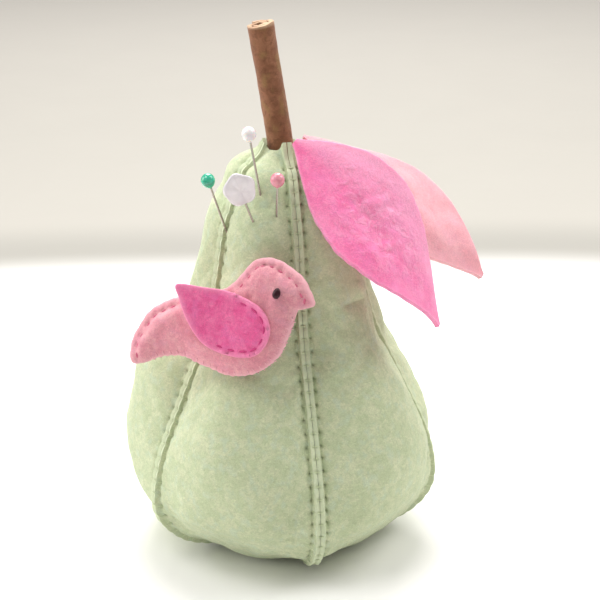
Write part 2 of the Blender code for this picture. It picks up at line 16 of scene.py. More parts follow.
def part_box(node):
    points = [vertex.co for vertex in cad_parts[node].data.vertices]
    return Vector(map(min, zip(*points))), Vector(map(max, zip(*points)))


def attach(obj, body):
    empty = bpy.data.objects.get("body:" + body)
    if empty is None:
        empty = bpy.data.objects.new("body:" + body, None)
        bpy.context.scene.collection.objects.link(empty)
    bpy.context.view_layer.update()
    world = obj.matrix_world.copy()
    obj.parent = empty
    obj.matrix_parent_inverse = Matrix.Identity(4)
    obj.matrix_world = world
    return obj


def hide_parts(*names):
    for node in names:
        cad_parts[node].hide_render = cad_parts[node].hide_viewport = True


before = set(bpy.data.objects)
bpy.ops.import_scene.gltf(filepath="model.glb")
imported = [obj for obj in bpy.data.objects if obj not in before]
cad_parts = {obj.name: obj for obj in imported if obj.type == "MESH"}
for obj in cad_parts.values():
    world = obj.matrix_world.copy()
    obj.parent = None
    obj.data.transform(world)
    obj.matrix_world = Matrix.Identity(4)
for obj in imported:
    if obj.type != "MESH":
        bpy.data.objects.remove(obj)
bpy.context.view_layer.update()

MM = 0.001

# Felt, as in part.py
FELT = 1.2
GAP = 0.3
SEAM_GAP = 0.4

# Pear, as in part.py
SEAM_LINE = [
    (5.4, 115.2), (12.7, 110.2), (16.0, 102.5), (19.0, 94.4), (21.3, 81.9), (25.3, 65.8), (33.3, 48.2),
    (41.0, 30.5), (42.6, 16.0), (35.5, 6.0), (24.0, 1.2), (14.0, 0.6), (4.2, 0.6),
]
GORES = ["front_right", "back_right", "back", "left", "front_left"]
FIRST_SEAM = 12.0
RIDGE = 1.8
BASE_RIDGE = 1.2
BASE_RIDGE_FROM = 0.86
BASE_RIDGE_TO = 0.95
BULGE = [
    (0.0, 1.6), (0.1, 3.0), (0.25, 3.8), (0.4, 4.9), (0.5, 5.7), (0.58, 5.0),
    (0.66, 1.0), (0.74, -3.2), (0.82, -1.8), (0.88, 1.2), (1.0, 1.2),
]
FULLNESS = {
    "left": [(5.5, 0.455, 0.085), (2.2, 0.66, 0.12)],
    "back_right": [(-1.6, 0.47, 0.1)],
}

# Fine felt of the gores
GORE_ROWS = 380
FILLET = 1.4  # where a gore turns up into its seam ridge
STITCH_PITCH = 3.6
STITCH_WANDER = 0.3
PULL_WIDTH = 0.75
TIP_RISE = (2.8, 0.2, 0.6, 1.6, 2.2)  # corners of the gores round the stem, seam by seam
TIP_REACH = 4.0
TIP_WIDTH = 1.7
TIP_SPREAD = 0.22
STITCH_FROM = 6.0  # along the seam, from the stem
STITCH_UP_TO = 136.0
STITCH_SLANT = 0.25
STITCH_REACH = 2.0  # from the seam line to the hole beside it
THREAD = 0.15
CREST_DROP = 0.35  # how far pressing and stitching flatten a ridge
CREST_CLOSE = 0.17
PINCH = 0.28  # how far a stitch pulls the ridge's crest down
HOLE_DEPTH = 0.9
HOLE_WIDTH = 0.62
STITCH_PATH = [(2.0, -1.5), (1.64, -0.68), (1.38, -0.15), (1.1, 0.24)]
FLANGE_COLUMNS = 5
FILLET_COLUMNS = 6
BODY_COLUMNS = 45
COLUMN_EASE = 0.55  # how far the columns crowd towards the seams
CREST_PALE_FROM = 0.6  # share up the ridge where the cut edge's colour begins: the fuzz of cut felt and a painted highlight along the crest
CREST_PALE = 1.5
LUMP = 0.55
SMALL_LUMP = 0.16
LUMP_CLEAR = 7.0
PIN_DIMPLE = 1.3
PIN_DIMPLE_DEPTH = 0.35
HALF_GORE = math.radians(36)

# Stuffing, and the stitches that close the base
STUFFING_GRID = (60, 120)
STUFFING_CLEAR = 0.9
STUFFING_TUFT = 0.8
ROSETTE_RAY = [(0.2, 0.9), (1.2, 0.5), (2.6, 0.35), (4.2, 0.35), (5.4, 1.0)]
ROSETTE_RAYS = 10
ROSETTE_HEIGHT = 0.75
ROSETTE_RADIUS = 1.3
ROSETTE_CORD = 0.45
ROSETTE_MIDDLE_CORD = 0.42

# Cloth simulation
CLOTH_FRAMES = 20
CLOTH = {
    "quality": 6,
    "mass": 0.2,
    "tension_stiffness": 15.0,
    "compression_stiffness": 15.0,
    "shear_stiffness": 8.0,
    "bending_stiffness": 0.5,
    "shrink_min": -0.015,  # the cloth is cut that much larger than the shape it starts from
    "use_pressure": True,
    "uniform_pressure_force": 4.0,
}
PEAR_CAP = 1.4
PEAR_ROWS = 72
PEAR_AROUND = 120
PEAR_HELD_BELOW = 2.5
BIRD_CAP = 0.8

# Stem, as in part.py
STEM_RADIUS = 4.4
STEM_CORE = 0.5
STEM_LENGTH = 48.7
STEM_FOOT = (1.4, 0.4, 101.6)
STEM_LEAN_LEFT = 8.3
STEM_LEAN_FRONT = 4.0
STEM_SPIN = -105.0
STEM_GRID = (90, 56)  # points along the strip and up it

# Leaves, as in part.py
LEAF_LENGTH = 65.5
LEAF_HALF_WIDTH = 16.8
LEAF_ROOT_POWER = 1.2
LEAF_TIP_POWER = 1.3
LEAF_BLUNT = 1.0
LEAF_CAMBER = 0.004
LEAVES = {
    "leaf_front": ((3.4, -6.6, 118.3), (-28, 5), (-30, -72), (42, 18), LEAF_LENGTH),
    "leaf_back": ((5.8, 3.2, 117.8), (4, 9), (-25, -56), (12, 42), LEAF_LENGTH + 3),
}

# Fine felt of the leaves
LEAF_GRID = (150, 61)
# How strongly a highlight is painted on a leaf's upper side near its root
LEAF_PAINTED_HIGHLIGHT = 0.9
LEAF_RIM = 0.35
LEAF_EDGE_WIDTH = 0.45
LEAF_SWELL = 0.34
PITTED_AT = 0.52  # share along the leaf
PITTED_LENGTH = 0.30
PITTED_WIDTH = 0.75
TRIM_AT = 0.15  # share along the leaf
TRIM_WIDTH = 0.30

# Bird, as in part.py
BIRD_HEADING = -20.0
BIRD_LEAN = 20.0
BIRD_HEIGHT = 65.0
BIRD_STANDOFF = 30.3
BIRD_DOME = 2.6
BIRD_DOME_REACH = 6.0
BIRD_OUTLINE = [
    (4.9, 16.5), (9.8, 15.4), (14.3, 12.4), (17.2, 8.8), (18.3, 5.6), (16.0, 4.3), (14.0, 3.6),
    (12.9, -1.0), (11.4, -6.5), (8.0, -11.6), (3.2, -14.4), (-1.8, -15.5), (-9.0, -14.1),
    (-16.0, -12.0), (-22.0, -12.4), (-27.4, -14.7), (-30.8, -15.2), (-31.8, -12.4),
    (-30.4, -6.3), (-26.2, 0.0), (-19.4, 3.6), (-11.0, 5.6), (-5.2, 7.8), (-1.6, 12.0), (1.2, 15.3),
]
WING_OUTLINE = [
    (-17.6, 7.3), (-10.8, 7.2), (-4.6, 6.9), (0.8, 5.5), (5.6, 3.2), (8.3, -0.6), (8.3, -5.0),
    (5.6, -9.0), (1.0, -10.2), (-5.0, -9.5), (-10.0, -7.0), (-14.0, -2.0), (-16.6, 3.4),
]
WING_LIFT = 3.0

# Fine felt of the bird
SCALLOP = 0.28  # how far each edge stitch draws the edge in
SCALLOP_WIDTH = 0.6
BIRD_POINTS = 220
WING_POINTS = 150
FINE_FELT = 0.8  # distance between the points of a layer that shows its lumps
FLAT_FELT = 1.3
FILLING_FINE = 1.6
FILLING_INSET = FELT + 2 * GAP + 1.2
FRONT_LEVEL = 1.5 * FELT + GAP
WING_LEVEL = FRONT_LEVEL + FELT + 2 * GAP
WING_SPAN_FROM = 6.0  # where the wing leaves the bird's dome, and how soon it spans level
WING_SPAN_REACH = 9.0
WING_FREE_FROM = 2.0  # behind the bird's middle, and how soon the free tip is fully lifted
WING_FREE_REACH = 17.0
# Stitches along an outline: first and last share of it, depth inside it, and pitch
HEAD_STITCHES = (-0.13, 0.135, 2.2, 3.0)
TAIL_STITCHES = (0.62, 0.80, 2.3, 3.1)
EDGE_STITCHES = (0.20, 0.56, 0.0, 1.9)
WING_STITCHES = (0.27, 0.69, 1.6, 3.3)
FRONT_STITCH = (1.7, 0.34)  # length, and radius of the thread
WING_STITCH = (2.3, 0.32)
EDGE_STITCH_RADIUS = 0.16
STITCH_HOLDS = 0.6  # how strong a pull keeps the padded front from rising
HEAD_DENT = 0.75  # how deep the stitches pull the felt
WING_DENT = 0.55
EDGE_DENT = 0.35
DENT_WIDTH = 0.8
EYE_SHAPE = (1.05, 1.5, 0.9)
EYE_POINTED = 0.18
EYE_TURN = -12

# Pins, as in part.py
HEAD_RADIUS = 1.9
HEAD_DRAW = 1.25
HEAD_GRIP = 1.4
FLOWER_RADIUS = 4.5
FLOWER_STRETCH = 1.15
FLOWER_GRIP = 4.2
FLOWER_THICKNESS = 1.6
FLOWER_PETALS = 5
FLOWER_MEAN = 0.95
FLOWER_FACES = (0.0, -0.94, 0.34)
PINS = {
    "white": ((-6.1, -15.4, 107.2), (-0.134, -0.325, 0.936), 17.5),
    "green": ((-16.3, -11.7, 98.0), (-0.255, -0.300, 0.920), 12.7),
    "flower": ((-8.1, -17.9, 99.8), (-0.302, -0.281, 0.911), 9.7),
    "pink": ((-1.7, -17.9, 101.0), (0.030, -0.400, 0.915), 11.5),
}

# Fine shapes of the pin heads
BALL_SEGMENTS = 40
BALL_RINGS = 30
BALL_NECK = 0.36
BALL_DRAWN_IN = 0.16
FLOWER_GRID = (22, 120)
FLOWER_GROOVE = 0.14

# Floor, in metres: its colour near the pear, and bands where it turns to the next colour
FLOOR_SIZE = 6
FLOOR_NEAR = (0.90, 0.89, 0.88)
FLOOR_BANDS = [
    # Painted shade: the first two bands make a dark line where the table top meets the wall; the last is
    # the cream wall itself
    (0.206, 0.262, (0.33, 0.318, 0.290)),
    (0.264, 0.31, (0.40, 0.382, 0.348)),
    (0.40, 1.2, (0.62, 0.59, 0.545)),
]
# Lights, in metres and watts: place, target, size, power and colour
WORLD_COLOUR = (1.0, 0.985, 0.96, 1)
WORLD_STRENGTH = 0.42
LIGHTS = {
    "overhead": ((0.02, 0.50, 0.82), (0, 0, 0.05), 0.6, 10.5, (1.0, 0.99, 0.97)),
    "upper_left": ((-0.26, -0.10, 0.58), (0, 0, 0.11), 0.3, 1.5, (1.0, 0.99, 0.98)),
    "upper_right": ((0.65, 0.10, 0.75), (0.02, 0, 0.08), 0.5, 4.5, (1.0, 0.99, 0.98)),
    "left_fill": ((-1.0, 0.10, 0.40), (0, 0, 0.06), 0.7, 5.6, (1.0, 1.0, 0.99)),
}
# Camera, in millimetres and degrees
CAMERA_PLACE = (0, -419.0, 224.2)
CAMERA_TARGET = (4.5, 3.6, 69.3)
CAMERA_LENS = 94.5
CAMERA_ROLL = -0.6

# Felts: base, pale, deep and tint colours, the colour of the cut edge, which also serves for painted
# highlights, and what else differs
FELTS = {
    "green": (
        (0.53, 0.60, 0.375), (0.62, 0.66, 0.44), (0.46, 0.54, 0.33),
        (0.53, 0.63, 0.47), (0.66, 0.73, 0.51), {"patches": 3.0},
    ),
    "brown": (
        (0.26, 0.112, 0.06), (0.34, 0.155, 0.085), (0.18, 0.078, 0.042),
        (0.30, 0.18, 0.07), (0.66, 0.46, 0.30), {"patches": 5.0},
    ),
    "hot_pink": (
        (0.82, 0.13, 0.33), (0.88, 0.20, 0.41), (0.75, 0.09, 0.28),
        (0.82, 0.18, 0.42), (0.92, 0.34, 0.52), {},
    ),
    "leaf_pink": (
        (0.87, 0.20, 0.42), (0.91, 0.29, 0.50), (0.83, 0.17, 0.39),
        (0.89, 0.25, 0.51), (0.97, 0.47, 0.66),
        {"patches": 6.0, "contrast": 0.8, "pits": 0.32, "through": 0.35},
    ),
    "back_leaf_pink": (
        (0.80, 0.37, 0.42), (0.83, 0.43, 0.48), (0.76, 0.32, 0.38),
        (0.79, 0.38, 0.47), (0.89, 0.54, 0.59), {"patches": 7.0, "contrast": 0.7, "through": 0.35},
    ),
    "pale_pink": (
        (0.76, 0.31, 0.37), (0.82, 0.40, 0.44), (0.69, 0.25, 0.32),
        (0.77, 0.35, 0.44), (0.88, 0.50, 0.55), {},
    ),
}
# Threads: the floss and its shaded twist
THREADS = {
    "green_thread": ((0.60, 0.67, 0.44), (0.52, 0.59, 0.36)),
    "bird_thread": ((0.70, 0.17, 0.27), (0.56, 0.11, 0.20)),
    "edge_thread": ((0.86, 0.46, 0.52), (0.76, 0.34, 0.42)),
    "wing_thread": ((0.66, 0.06, 0.24), (0.52, 0.04, 0.17)),
}
# Moulded heads: glass or plastic and its clouding, and how clear it is
HEADS = {
    "white": ((0.86, 0.84, 0.84), (0.76, 0.74, 0.76), 0.0),
    "green": ((0.05, 0.50, 0.32), (0.03, 0.36, 0.22), 0.0),
    "pink": ((0.80, 0.34, 0.40), (0.66, 0.24, 0.30), 0.0),
    "flower": ((0.99, 0.94, 0.98), (0.93, 0.88, 0.94), 0.3),
}


# ---------------------------------------------------------------- curves and fields


def run_along(points):
    """The distance along a line to each of its points."""
    return np.concatenate([[0], np.cumsum(np.linalg.norm(np.diff(points, axis=0), axis=1))])


def smooth_curve(points, count, closed=False):
    """Points at equal spacing along a Catmull-Rom curve through the given ones."""
    given = np.array(points, float)
    if closed:
        padded = np.vstack([given[-1], given, given[0], given[1]])
    else:
        padded = np.vstack([2 * given[0] - given[1], given, 2 * given[-1] - given[-2]])
    fine = []
    for p0, p1, p2, p3 in zip(padded, padded[1:], padded[2:], padded[3:]):
        for t in np.linspace(0, 1, 24, endpoint=False):
            fine.append(
                0.5 * (2 * p1 + (p2 - p0) * t + (2 * p0 - 5 * p1 + 4 * p2 - p3) * t**2
                       + (3 * p1 - p0 - 3 * p2 + p3) * t**3)
            )
    fine.append(given[0] if closed else given[-1])
    fine = np.array(fine)
    run = run_along(fine)
    at = np.linspace(0, run[-1], count + 1 if closed else count)
    found = np.stack([np.interp(at, run, fine[:, i]) for i in range(given.shape[1])], axis=1)
    return found[:-1] if closed else found


def waves(points, wavelength, seed, count=14):
    """A smooth random field, about -1 to 1: plane waves of nearly one length in random directions."""
    random = np.random.default_rng(seed)
    heading = random.normal(size=(count, 3))
    heading /= np.linalg.norm(heading, axis=1)[:, None]
    rate = 2 * math.pi / (wavelength * random.uniform(0.7, 1.5, count))
    phase = random.uniform(0, 2 * math.pi, count)
    points = np.asarray(points, float)
    return np.sin((points @ heading.T) * rate + phase).sum(axis=-1) / math.sqrt(count * 2)


def bell(distance, width):
    return np.exp(-((distance / width) ** 2))


def round_axis(radius, height, angle):
    """Points round the pear's axis, their angles counted from its front."""
    return np.stack([radius * np.sin(angle), -radius * np.cos(angle), height], axis=-1)


def aim(origin, direction):
    turn = Vector(direction).to_track_quat("Z", "Y").to_matrix().to_4x4()
    return Matrix.Translation(Vector(origin) * MM) @ turn


# ---------------------------------------------------------------- meshes


def add_object(name, data):
    obj = bpy.data.objects.new(name, data)
    bpy.context.scene.collection.objects.link(obj)
    return obj


def add_piece(name, verts, faces, material):
    """A smooth mesh object from points in millimetres."""
    mesh = bpy.data.meshes.new(name)
    mesh.from_pydata((np.asarray(verts, float) * MM).tolist(), [], faces)
    mesh.materials.append(material)
    mesh.update()
    mesh.shade_smooth()
    return add_object(name, mesh)


def add_solid(name, bm, material):
    """A smooth mesh object from a bmesh in millimetres, which is used up."""
    mesh = bpy.data.meshes.new(name)
    bm.to_mesh(mesh)
    bm.free()
    mesh.transform(Matrix.Scale(MM, 4))
    mesh.shade_smooth()
    mesh.materials.append(material)
    return add_object(name, mesh)


def face_out(mesh, weld=0.0):
    """Turns the faces of a closed mesh outwards, once points within weld metres are joined."""
    bm = bmesh.new()
    bm.from_mesh(mesh)
    if weld:
        bmesh.ops.remove_doubles(bm, verts=bm.verts, dist=weld)
    bmesh.ops.recalc_face_normals(bm, faces=bm.faces)
    bm.to_mesh(mesh)
    bm.free()


def grid_faces(rows, columns, around=False, start=0):
    faces = []
    for i in range(rows - 1):
        for j in range(columns if around else columns - 1):
            k = (j + 1) % columns
            a = start + i * columns
            faces.append((a + j, a + columns + j, a + columns + k, a + k))
    return faces


def tube_faces(rings, around, start=0):
    """Faces of a tube made of rings of points, closed at both ends."""
    faces = grid_faces(rings, around, around=True, start=start)
    last = start + (rings - 1) * around
    faces.append(tuple(range(start, start + around)))
    faces.append(tuple(range(last + around - 1, last - 1, -1)))
    return faces


def set_attribute(obj, name, values):
    layer = obj.data.attributes.new(name, "FLOAT", "POINT")
    layer.data.foreach_set("value", np.asarray(values, np.float32).ravel())


def thicken(obj, rim=0.38):
    """Gives an open surface the thickness of felt, with its cut edges a little rounded."""
    solid = obj.modifiers.new("felt", "SOLIDIFY")
    solid.thickness = FELT * MM
    solid.offset = 0.0
    solid.use_even_offset = False
    bevel = obj.modifiers.new("cut edges", "BEVEL")
    bevel.width = rim * MM
    bevel.segments = 3
    bevel.limit_method = "ANGLE"
    bevel.angle_limit = math.radians(55)


class Tubes:
    """Round threads collected into one mesh."""

    def __init__(self):
        self.verts = []
        self.faces = []

    def add(self, path, radius, sides=8, taper=0.0):
        """A capped tube along path. taper thins its two ends by that share."""
        path = np.asarray(path, float)
        count = len(path)
        along = np.gradient(path, axis=0)
        along /= np.linalg.norm(along, axis=1)[:, None]
        side = np.cross(along[0], (0.31, 0.17, 0.93))
        side /= np.linalg.norm(side)
        first = sum(len(ring) for ring in self.verts)
        angles = np.linspace(0, 2 * math.pi, sides, endpoint=False)
        for i in range(count):
            side = side - along[i] * (side @ along[i])
            side /= np.linalg.norm(side)
            up = np.cross(along[i], side)
            end = abs(2 * i / (count - 1) - 1)
            thick = radius * (1 - taper * end**3)
            ring = path[i] + thick * (np.outer(np.cos(angles), side) + np.outer(np.sin(angles), up))
            self.verts.append(ring)
        self.faces += tube_faces(count, sides, first)

    def build(self, name, material):
        obj = add_piece(name, np.vstack(self.verts), self.faces, material)
        face_out(obj.data)
        return obj


# ---------------------------------------------------------------- cloth under pressure


def blown(verts, faces, held, cap):
    """How far each point of a closed cloth shape moves once it is stuffed, in millimetres.

    held marks the points that stitches or the table keep still, and cap limits a move.
    """
    verts = np.asarray(verts, float)
    scene = bpy.context.scene
    mesh = bpy.data.meshes.new("stuffed")
    mesh.from_pydata((verts * MM).tolist(), [], faces)
    face_out(mesh)
    obj = add_object("stuffed", mesh)
    obj.vertex_groups.new(name="held").add(np.nonzero(held)[0].tolist(), 1.0, "REPLACE")
    cloth = obj.modifiers.new("cloth", "CLOTH")
    for setting, value in CLOTH.items():
        setattr(cloth.settings, setting, value)
    cloth.settings.vertex_group_mass = "held"
    cloth.settings.effector_weights.gravity = 0
    cloth.collision_settings.use_collision = False
    cloth.point_cache.frame_start = 1
    cloth.point_cache.frame_end = CLOTH_FRAMES
    for step in range(1, CLOTH_FRAMES + 1):
        scene.frame_set(step)
    found = obj.evaluated_get(bpy.context.evaluated_depsgraph_get()).data
    moved = np.zeros(len(verts) * 3)
    found.vertices.foreach_get("co", moved)
    moved = moved.reshape(-1, 3) / MM - verts
    bpy.data.objects.remove(obj, do_unlink=True)
    bpy.data.meshes.remove(mesh)
    scene.frame_set(1)
    length = np.linalg.norm(moved, axis=1, keepdims=True) + 1e-9
    return moved * np.tanh(length / cap) * cap / length


# ---------------------------------------------------------------- materials


class Nodes:
    """A material's node tree, with short names for the nodes used here."""

    def __init__(self, name):
        self.material = bpy.data.materials.new(name)
        self.material.use_nodes = True
        self.tree = self.material.node_tree
        self.shader = self.tree.nodes["Principled BSDF"]
        self.place = self.tree.nodes.new("ShaderNodeTexCoord").outputs["Object"]

    def put(self, value, target):
        """Fills an input with another node's output, a colour or a plain value."""
        if isinstance(value, bpy.types.NodeSocket):
            self.tree.links.new(value, target)
        elif target.type == "RGBA":
            target.default_value = (*value, 1.0)
        else:
            target.default_value = value

    def node(self, kind, **inputs):
        node = self.tree.nodes.new("ShaderNode" + kind)
        for name, value in inputs.items():
            self.put(value, node.inputs[name.replace("_", " ")])
        return node

    def set(self, **inputs):
        for name, value in inputs.items():
            self.put(value, self.shader.inputs[name.replace("_", " ")])

    def noise(self, size, detail=3.0, distortion=0.0, rough=0.55, place=None):
        """Noise whose patches are about size millimetres across."""
        node = self.node("TexNoise", Vector=place or self.place, Scale=1 / (size * MM))
        for name, value in (("Detail", detail), ("Roughness", rough), ("Distortion", distortion)):
            self.put(value, node.inputs[name])
        return node.outputs["Fac"]

    def stretched(self, scale, turn):
        angles = [math.radians(a) for a in turn]
        return self.node("Mapping", Vector=self.place, Scale=scale, Rotation=angles).outputs["Vector"]

    def spread(self, value, low, high, to_low=0.0, to_high=1.0):
        """A soft step from to_low to to_high while value goes from low to high."""
        ends = {"From_Min": low, "From_Max": high, "To_Min": to_low, "To_Max": to_high}
        node = self.node("MapRange", Value=value, **ends)
        node.interpolation_type = "SMOOTHSTEP"
        return node.outputs["Result"]

    def mix(self, share, a, b, blend="MIX"):
        node = self.node("Mix")
        node.data_type = "RGBA"
        node.blend_type = blend
        node.clamp_factor = True
        sockets = {socket.identifier: socket for socket in [*node.inputs, *node.outputs]}
        for name, value in (("Factor_Float", share), ("A_Color", a), ("B_Color", b)):
            self.put(value, sockets[name])
        return sockets["Result_Color"]

    def math(self, operation, a, b):
        node = self.node("Math")
        node.operation = operation
        self.put(a, node.inputs[0])
        self.put(b, node.inputs[1])
        return node.outputs["Value"]

    def attribute(self, name):
        node = self.node("Attribute")
        node.attribute_name = name
        return node.outputs["Fac"]

    def bump(self, height, strength, depth, after=None):
        node = self.node("Bump", Height=height, Strength=strength, Distance=depth * MM)
        if after is not None:
            self.put(after, node.inputs["Normal"])
        return node.outputs["Normal"]


def make_felt(name, base, pale, deep, tint, edge, patches=4.0, contrast=1.0, pits=0.0, through=0.0):
    """Wool felt: soft patches of two tones and a tint, matted fibres, and lighter cut edges, partly the
    fuzz of cut felt and partly a painted rim highlight.

    pits roughens it and paints pale highlight flecks in its pitted middle, and through lets light
    scatter to the other side of thin felt.
    """
    n = Nodes(name)
    broad = n.noise(patches, 2.0, 0.4)
    small = n.noise(patches * 0.34, 4.0, 0.8)
    other = n.noise(patches * 0.8, 2.0, 0.2, place=n.stretched((1.0, 1.3, 0.8), (20, 40, 10)))
    fibre_a = n.noise(0.55, 5.0, 2.2, 0.7, n.stretched((1.0, 0.35, 1.0), (25, 10, 50)))
    fibre_b = n.noise(0.5, 5.0, 2.4, 0.7, n.stretched((0.4, 1.0, 0.8), (-30, 35, 15)))
    colour = n.mix(n.spread(broad, 0.36, 0.64, 0.0, contrast), base, pale)
    colour = n.mix(n.spread(small, 0.42, 0.72, 0.0, 0.75 * contrast), colour, deep)
    colour = n.mix(n.spread(other, 0.5, 0.7, 0.0, 0.6 * contrast), colour, tint)
    # Painted highlight: the colour turns to the lighter edge colour as far as the fade attribute says,
    # which a leaf sets towards its upper edge near the root
    colour = n.mix(n.attribute("fade"), colour, edge)
    if pits:
        pitting = n.math("MULTIPLY", n.spread(n.noise(2.3, 3.0, 0.9), 0.46, 0.66), n.attribute("pit"))
        # Painted highlights: pale flecks where the leaf is pitted
        colour = n.mix(n.math("MULTIPLY", pitting, 0.45), colour, edge)
    fibres = n.math("MULTIPLY", fibre_a, fibre_b)
    light = n.mix(n.spread(fibres, 0.16, 0.40, 0.0, 1.0), (0.86, 0.86, 0.86), (1.12, 1.12, 1.12))
    colour = n.mix(1.0, colour, light, "MULTIPLY")
    # Lighter cut edges: the fuzz of cut felt, together with a painted rim highlight
    colour = n.mix(n.math("MULTIPLY", n.attribute("edge"), 0.85), colour, edge)
    # Painted shade in the stitch holes: the felt turns dark where the stitches pull it in
    colour = n.mix(n.math("MULTIPLY", n.attribute("hole"), 0.7), colour, tuple(0.35 * c for c in deep))
    normal = n.bump(n.noise(1.6, 3.0, 0.5), 0.35, 0.35)
    if pits:
        normal = n.bump(pitting, pits, 0.8, normal)
    n.set(Base_Color=colour, Roughness=n.spread(fibres, 0.1, 0.45, 0.82, 1.0))
    n.set(Normal=n.bump(fibres, 0.6, 0.35, normal), Specular_IOR_Level=0.15)
    sheen_tint = tuple(0.5 + 0.5 * c for c in pale)
    n.set(Sheen_Weight=0.35, Sheen_Roughness=0.45, Sheen_Tint=sheen_tint)
    if through:
        n.set(Subsurface_Weight=through, Subsurface_Scale=0.0016, Subsurface_Radius=(1.0, 0.3, 0.45))
    return n.material


def make_thread(name, colour, deep):
    """Two-strand floss: fine slanting ply lines."""
    n = Nodes(name)
    ply = n.noise(0.28, 2.0, 0.6, place=n.stretched((1.0, 1.0, 0.45), (35, 20, 0)))
    n.set(Base_Color=n.mix(n.spread(ply, 0.35, 0.65), deep, colour))
    n.set(Roughness=n.spread(ply, 0.3, 0.7, 0.55, 0.8), Normal=n.bump(ply, 0.5, 0.08))
    n.set(Sheen_Weight=0.2, Specular_IOR_Level=0.3)
    return n.material


def make_glass_head(name, colour, deep, clear=0.0):
    """Moulded glass or plastic, with faint clouding and a glossy skin."""
    n = Nodes(name)
    cloud = n.noise(1.4, 2.0, 0.3)
    n.set(Base_Color=n.mix(n.spread(cloud, 0.3, 0.7), colour, deep))
    n.set(Roughness=n.spread(n.noise(0.7, 2.0), 0.3, 0.7, 0.12, 0.22))
    n.set(Normal=n.bump(n.noise(2.2, 1.0), 0.08, 0.2))
    n.set(Coat_Weight=0.35, Coat_Roughness=0.12, Transmission_Weight=clear, IOR=1.5)
    n.set(Subsurface_Weight=0.0 if clear else 0.25, Subsurface_Scale=0.0015)
    return n.material


def make_steel():
    n = Nodes("pin_steel")
    drawn = n.noise(0.15, 3.0, 0.0, 0.6)
    n.set(Base_Color=n.mix(drawn, (0.27, 0.25, 0.21), (0.42, 0.39, 0.34)))
    n.set(Roughness=n.spread(drawn, 0.3, 0.7, 0.22, 0.36), Metallic=1.0)
    return n.material


def make_fibre():
    n = Nodes("white_fibre")
    tuft = n.noise(0.9, 6.0, 3.0, 0.7)
    colour = n.mix(n.spread(tuft, 0.3, 0.7), (0.66, 0.65, 0.60), (0.86, 0.85, 0.82))
    n.set(Base_Color=colour, Roughness=n.spread(tuft, 0.3, 0.7, 0.9, 1.0))
    n.set(Normal=n.bump(tuft, 0.8, 0.6), Sheen_Weight=0.3)
    return n.material


def make_bead():
    n = Nodes("dark_bead")
    cloud = n.noise(0.8, 2.0)
    n.set(Base_Color=n.mix(cloud, (0.012, 0.002, 0.004), (0.05, 0.006, 0.014)))
    n.set(Roughness=n.spread(cloud, 0.3, 0.7, 0.3, 0.45))
    n.set(Coat_Weight=0.1, Coat_Roughness=0.15, Specular_IOR_Level=0.25)
    return n.material


# ---------------------------------------------------------------- gores


class Seam:
    """The seam line at equal steps, with its outward normal, ridge height and gore bulge."""

    def __init__(self, count):
        self.line = smooth_curve(SEAM_LINE, count)
        along = np.gradient(self.line, axis=0)
        self.run = run_along(self.line)
        along /= np.linalg.norm(along, axis=1)[:, None]
        self.normal = np.stack([-along[:, 1], along[:, 0]], axis=1)
        self.share = np.linspace(0, 1, count)
        fade = (self.share - BASE_RIDGE_FROM) / (BASE_RIDGE_TO - BASE_RIDGE_FROM)
        self.ridge = RIDGE + (BASE_RIDGE - RIDGE) * np.clip(fade, 0, 1)
        self.line[:, 1] = np.maximum(self.line[:, 1], BASE_RIDGE / 2)
        knots = smooth_curve(BULGE, 200)
        common = np.interp(self.share, knots[:, 0], knots[:, 1])
        self.bulge = [common + self.fullness(gore) for gore in GORES]

    def fullness(self, gore):
        bumps = [
            height * bell(self.share - share, spread) for height, share, spread in FULLNESS.get(gore, [])
        ]
        return sum(bumps, np.zeros(len(self.share)))

    def moved(self, out, floor=0.0):
        """(radius, height) of the whole seam line, moved out along its normal."""
        radius = self.line[:, 0] + self.normal[:, 0] * out
        return radius, np.maximum(self.line[:, 1] + self.normal[:, 1] * out, floor)

    def at(self, run, out):
        """(radius, height) at a distance along the seam, moved out along the normal."""
        values = [
            np.interp(run, self.run, array)
            for array in (self.line[:, 0], self.line[:, 1], self.normal[:, 0], self.normal[:, 1])
        ]
        return values[0] + values[2] * out, values[1] + values[3] * out


SEAM = Seam(GORE_ROWS)


def stitch_places(number):
    """Distances along a seam of its whipstitches, spaced a little unevenly by hand."""
    places = np.arange(STITCH_FROM, STITCH_UP_TO, STITCH_PITCH)
    random = np.random.default_rng(100 + number)
    return places + random.uniform(-STITCH_WANDER, STITCH_WANDER, len(places))


def seam_point(number, run, beside, out, floor=0.0):
    """Point near a seam: beside is across the seam, out is along its outward normal."""
    radius, height = SEAM.at(run, out)
    angle = math.radians(FIRST_SEAM + 72 * number) + np.arcsin(np.clip(beside / radius, -0.9, 0.9))
    return round_axis(radius, np.maximum(height, floor), angle)


def pull(number, offset=0.0, width=PULL_WIDTH):
    """How strongly the stitches pull at each row of a gore, 0 to 1."""
    places = stitch_places(number) + offset
    return bell(SEAM.run[:, None] - places[None, :], width).max(axis=1)


def pear_grid(seam, around, inset):
    """Points of a whole pear, its gores bulging between the seams, inset inside the felt."""
    grid = np.zeros((len(seam.share), around, 3))
    per_gore = around // 5
    for j in range(around):
        across = (j % per_gore) / per_gore * 2 - 1
        out = seam.bulge[j // per_gore] * (1 - across**2) - seam.ridge / 2 - inset
        angle = math.radians(FIRST_SEAM + 360 * j / around)
        grid[:, j] = round_axis(*seam.moved(out), angle)
    return grid


def stuffed_pear():
    """Moves of a coarse cloth pear, held along its five seams and under its base."""
    grid = pear_grid(Seam(PEAR_ROWS), PEAR_AROUND, 0.0)
    held = grid[..., 2] < PEAR_HELD_BELOW
    held[:, :: PEAR_AROUND // 5] = True
    held[:2] = True
    faces = tube_faces(PEAR_ROWS, PEAR_AROUND)
    return blown(grid.reshape(-1, 3), faces, held.ravel(), PEAR_CAP).reshape(grid.shape)


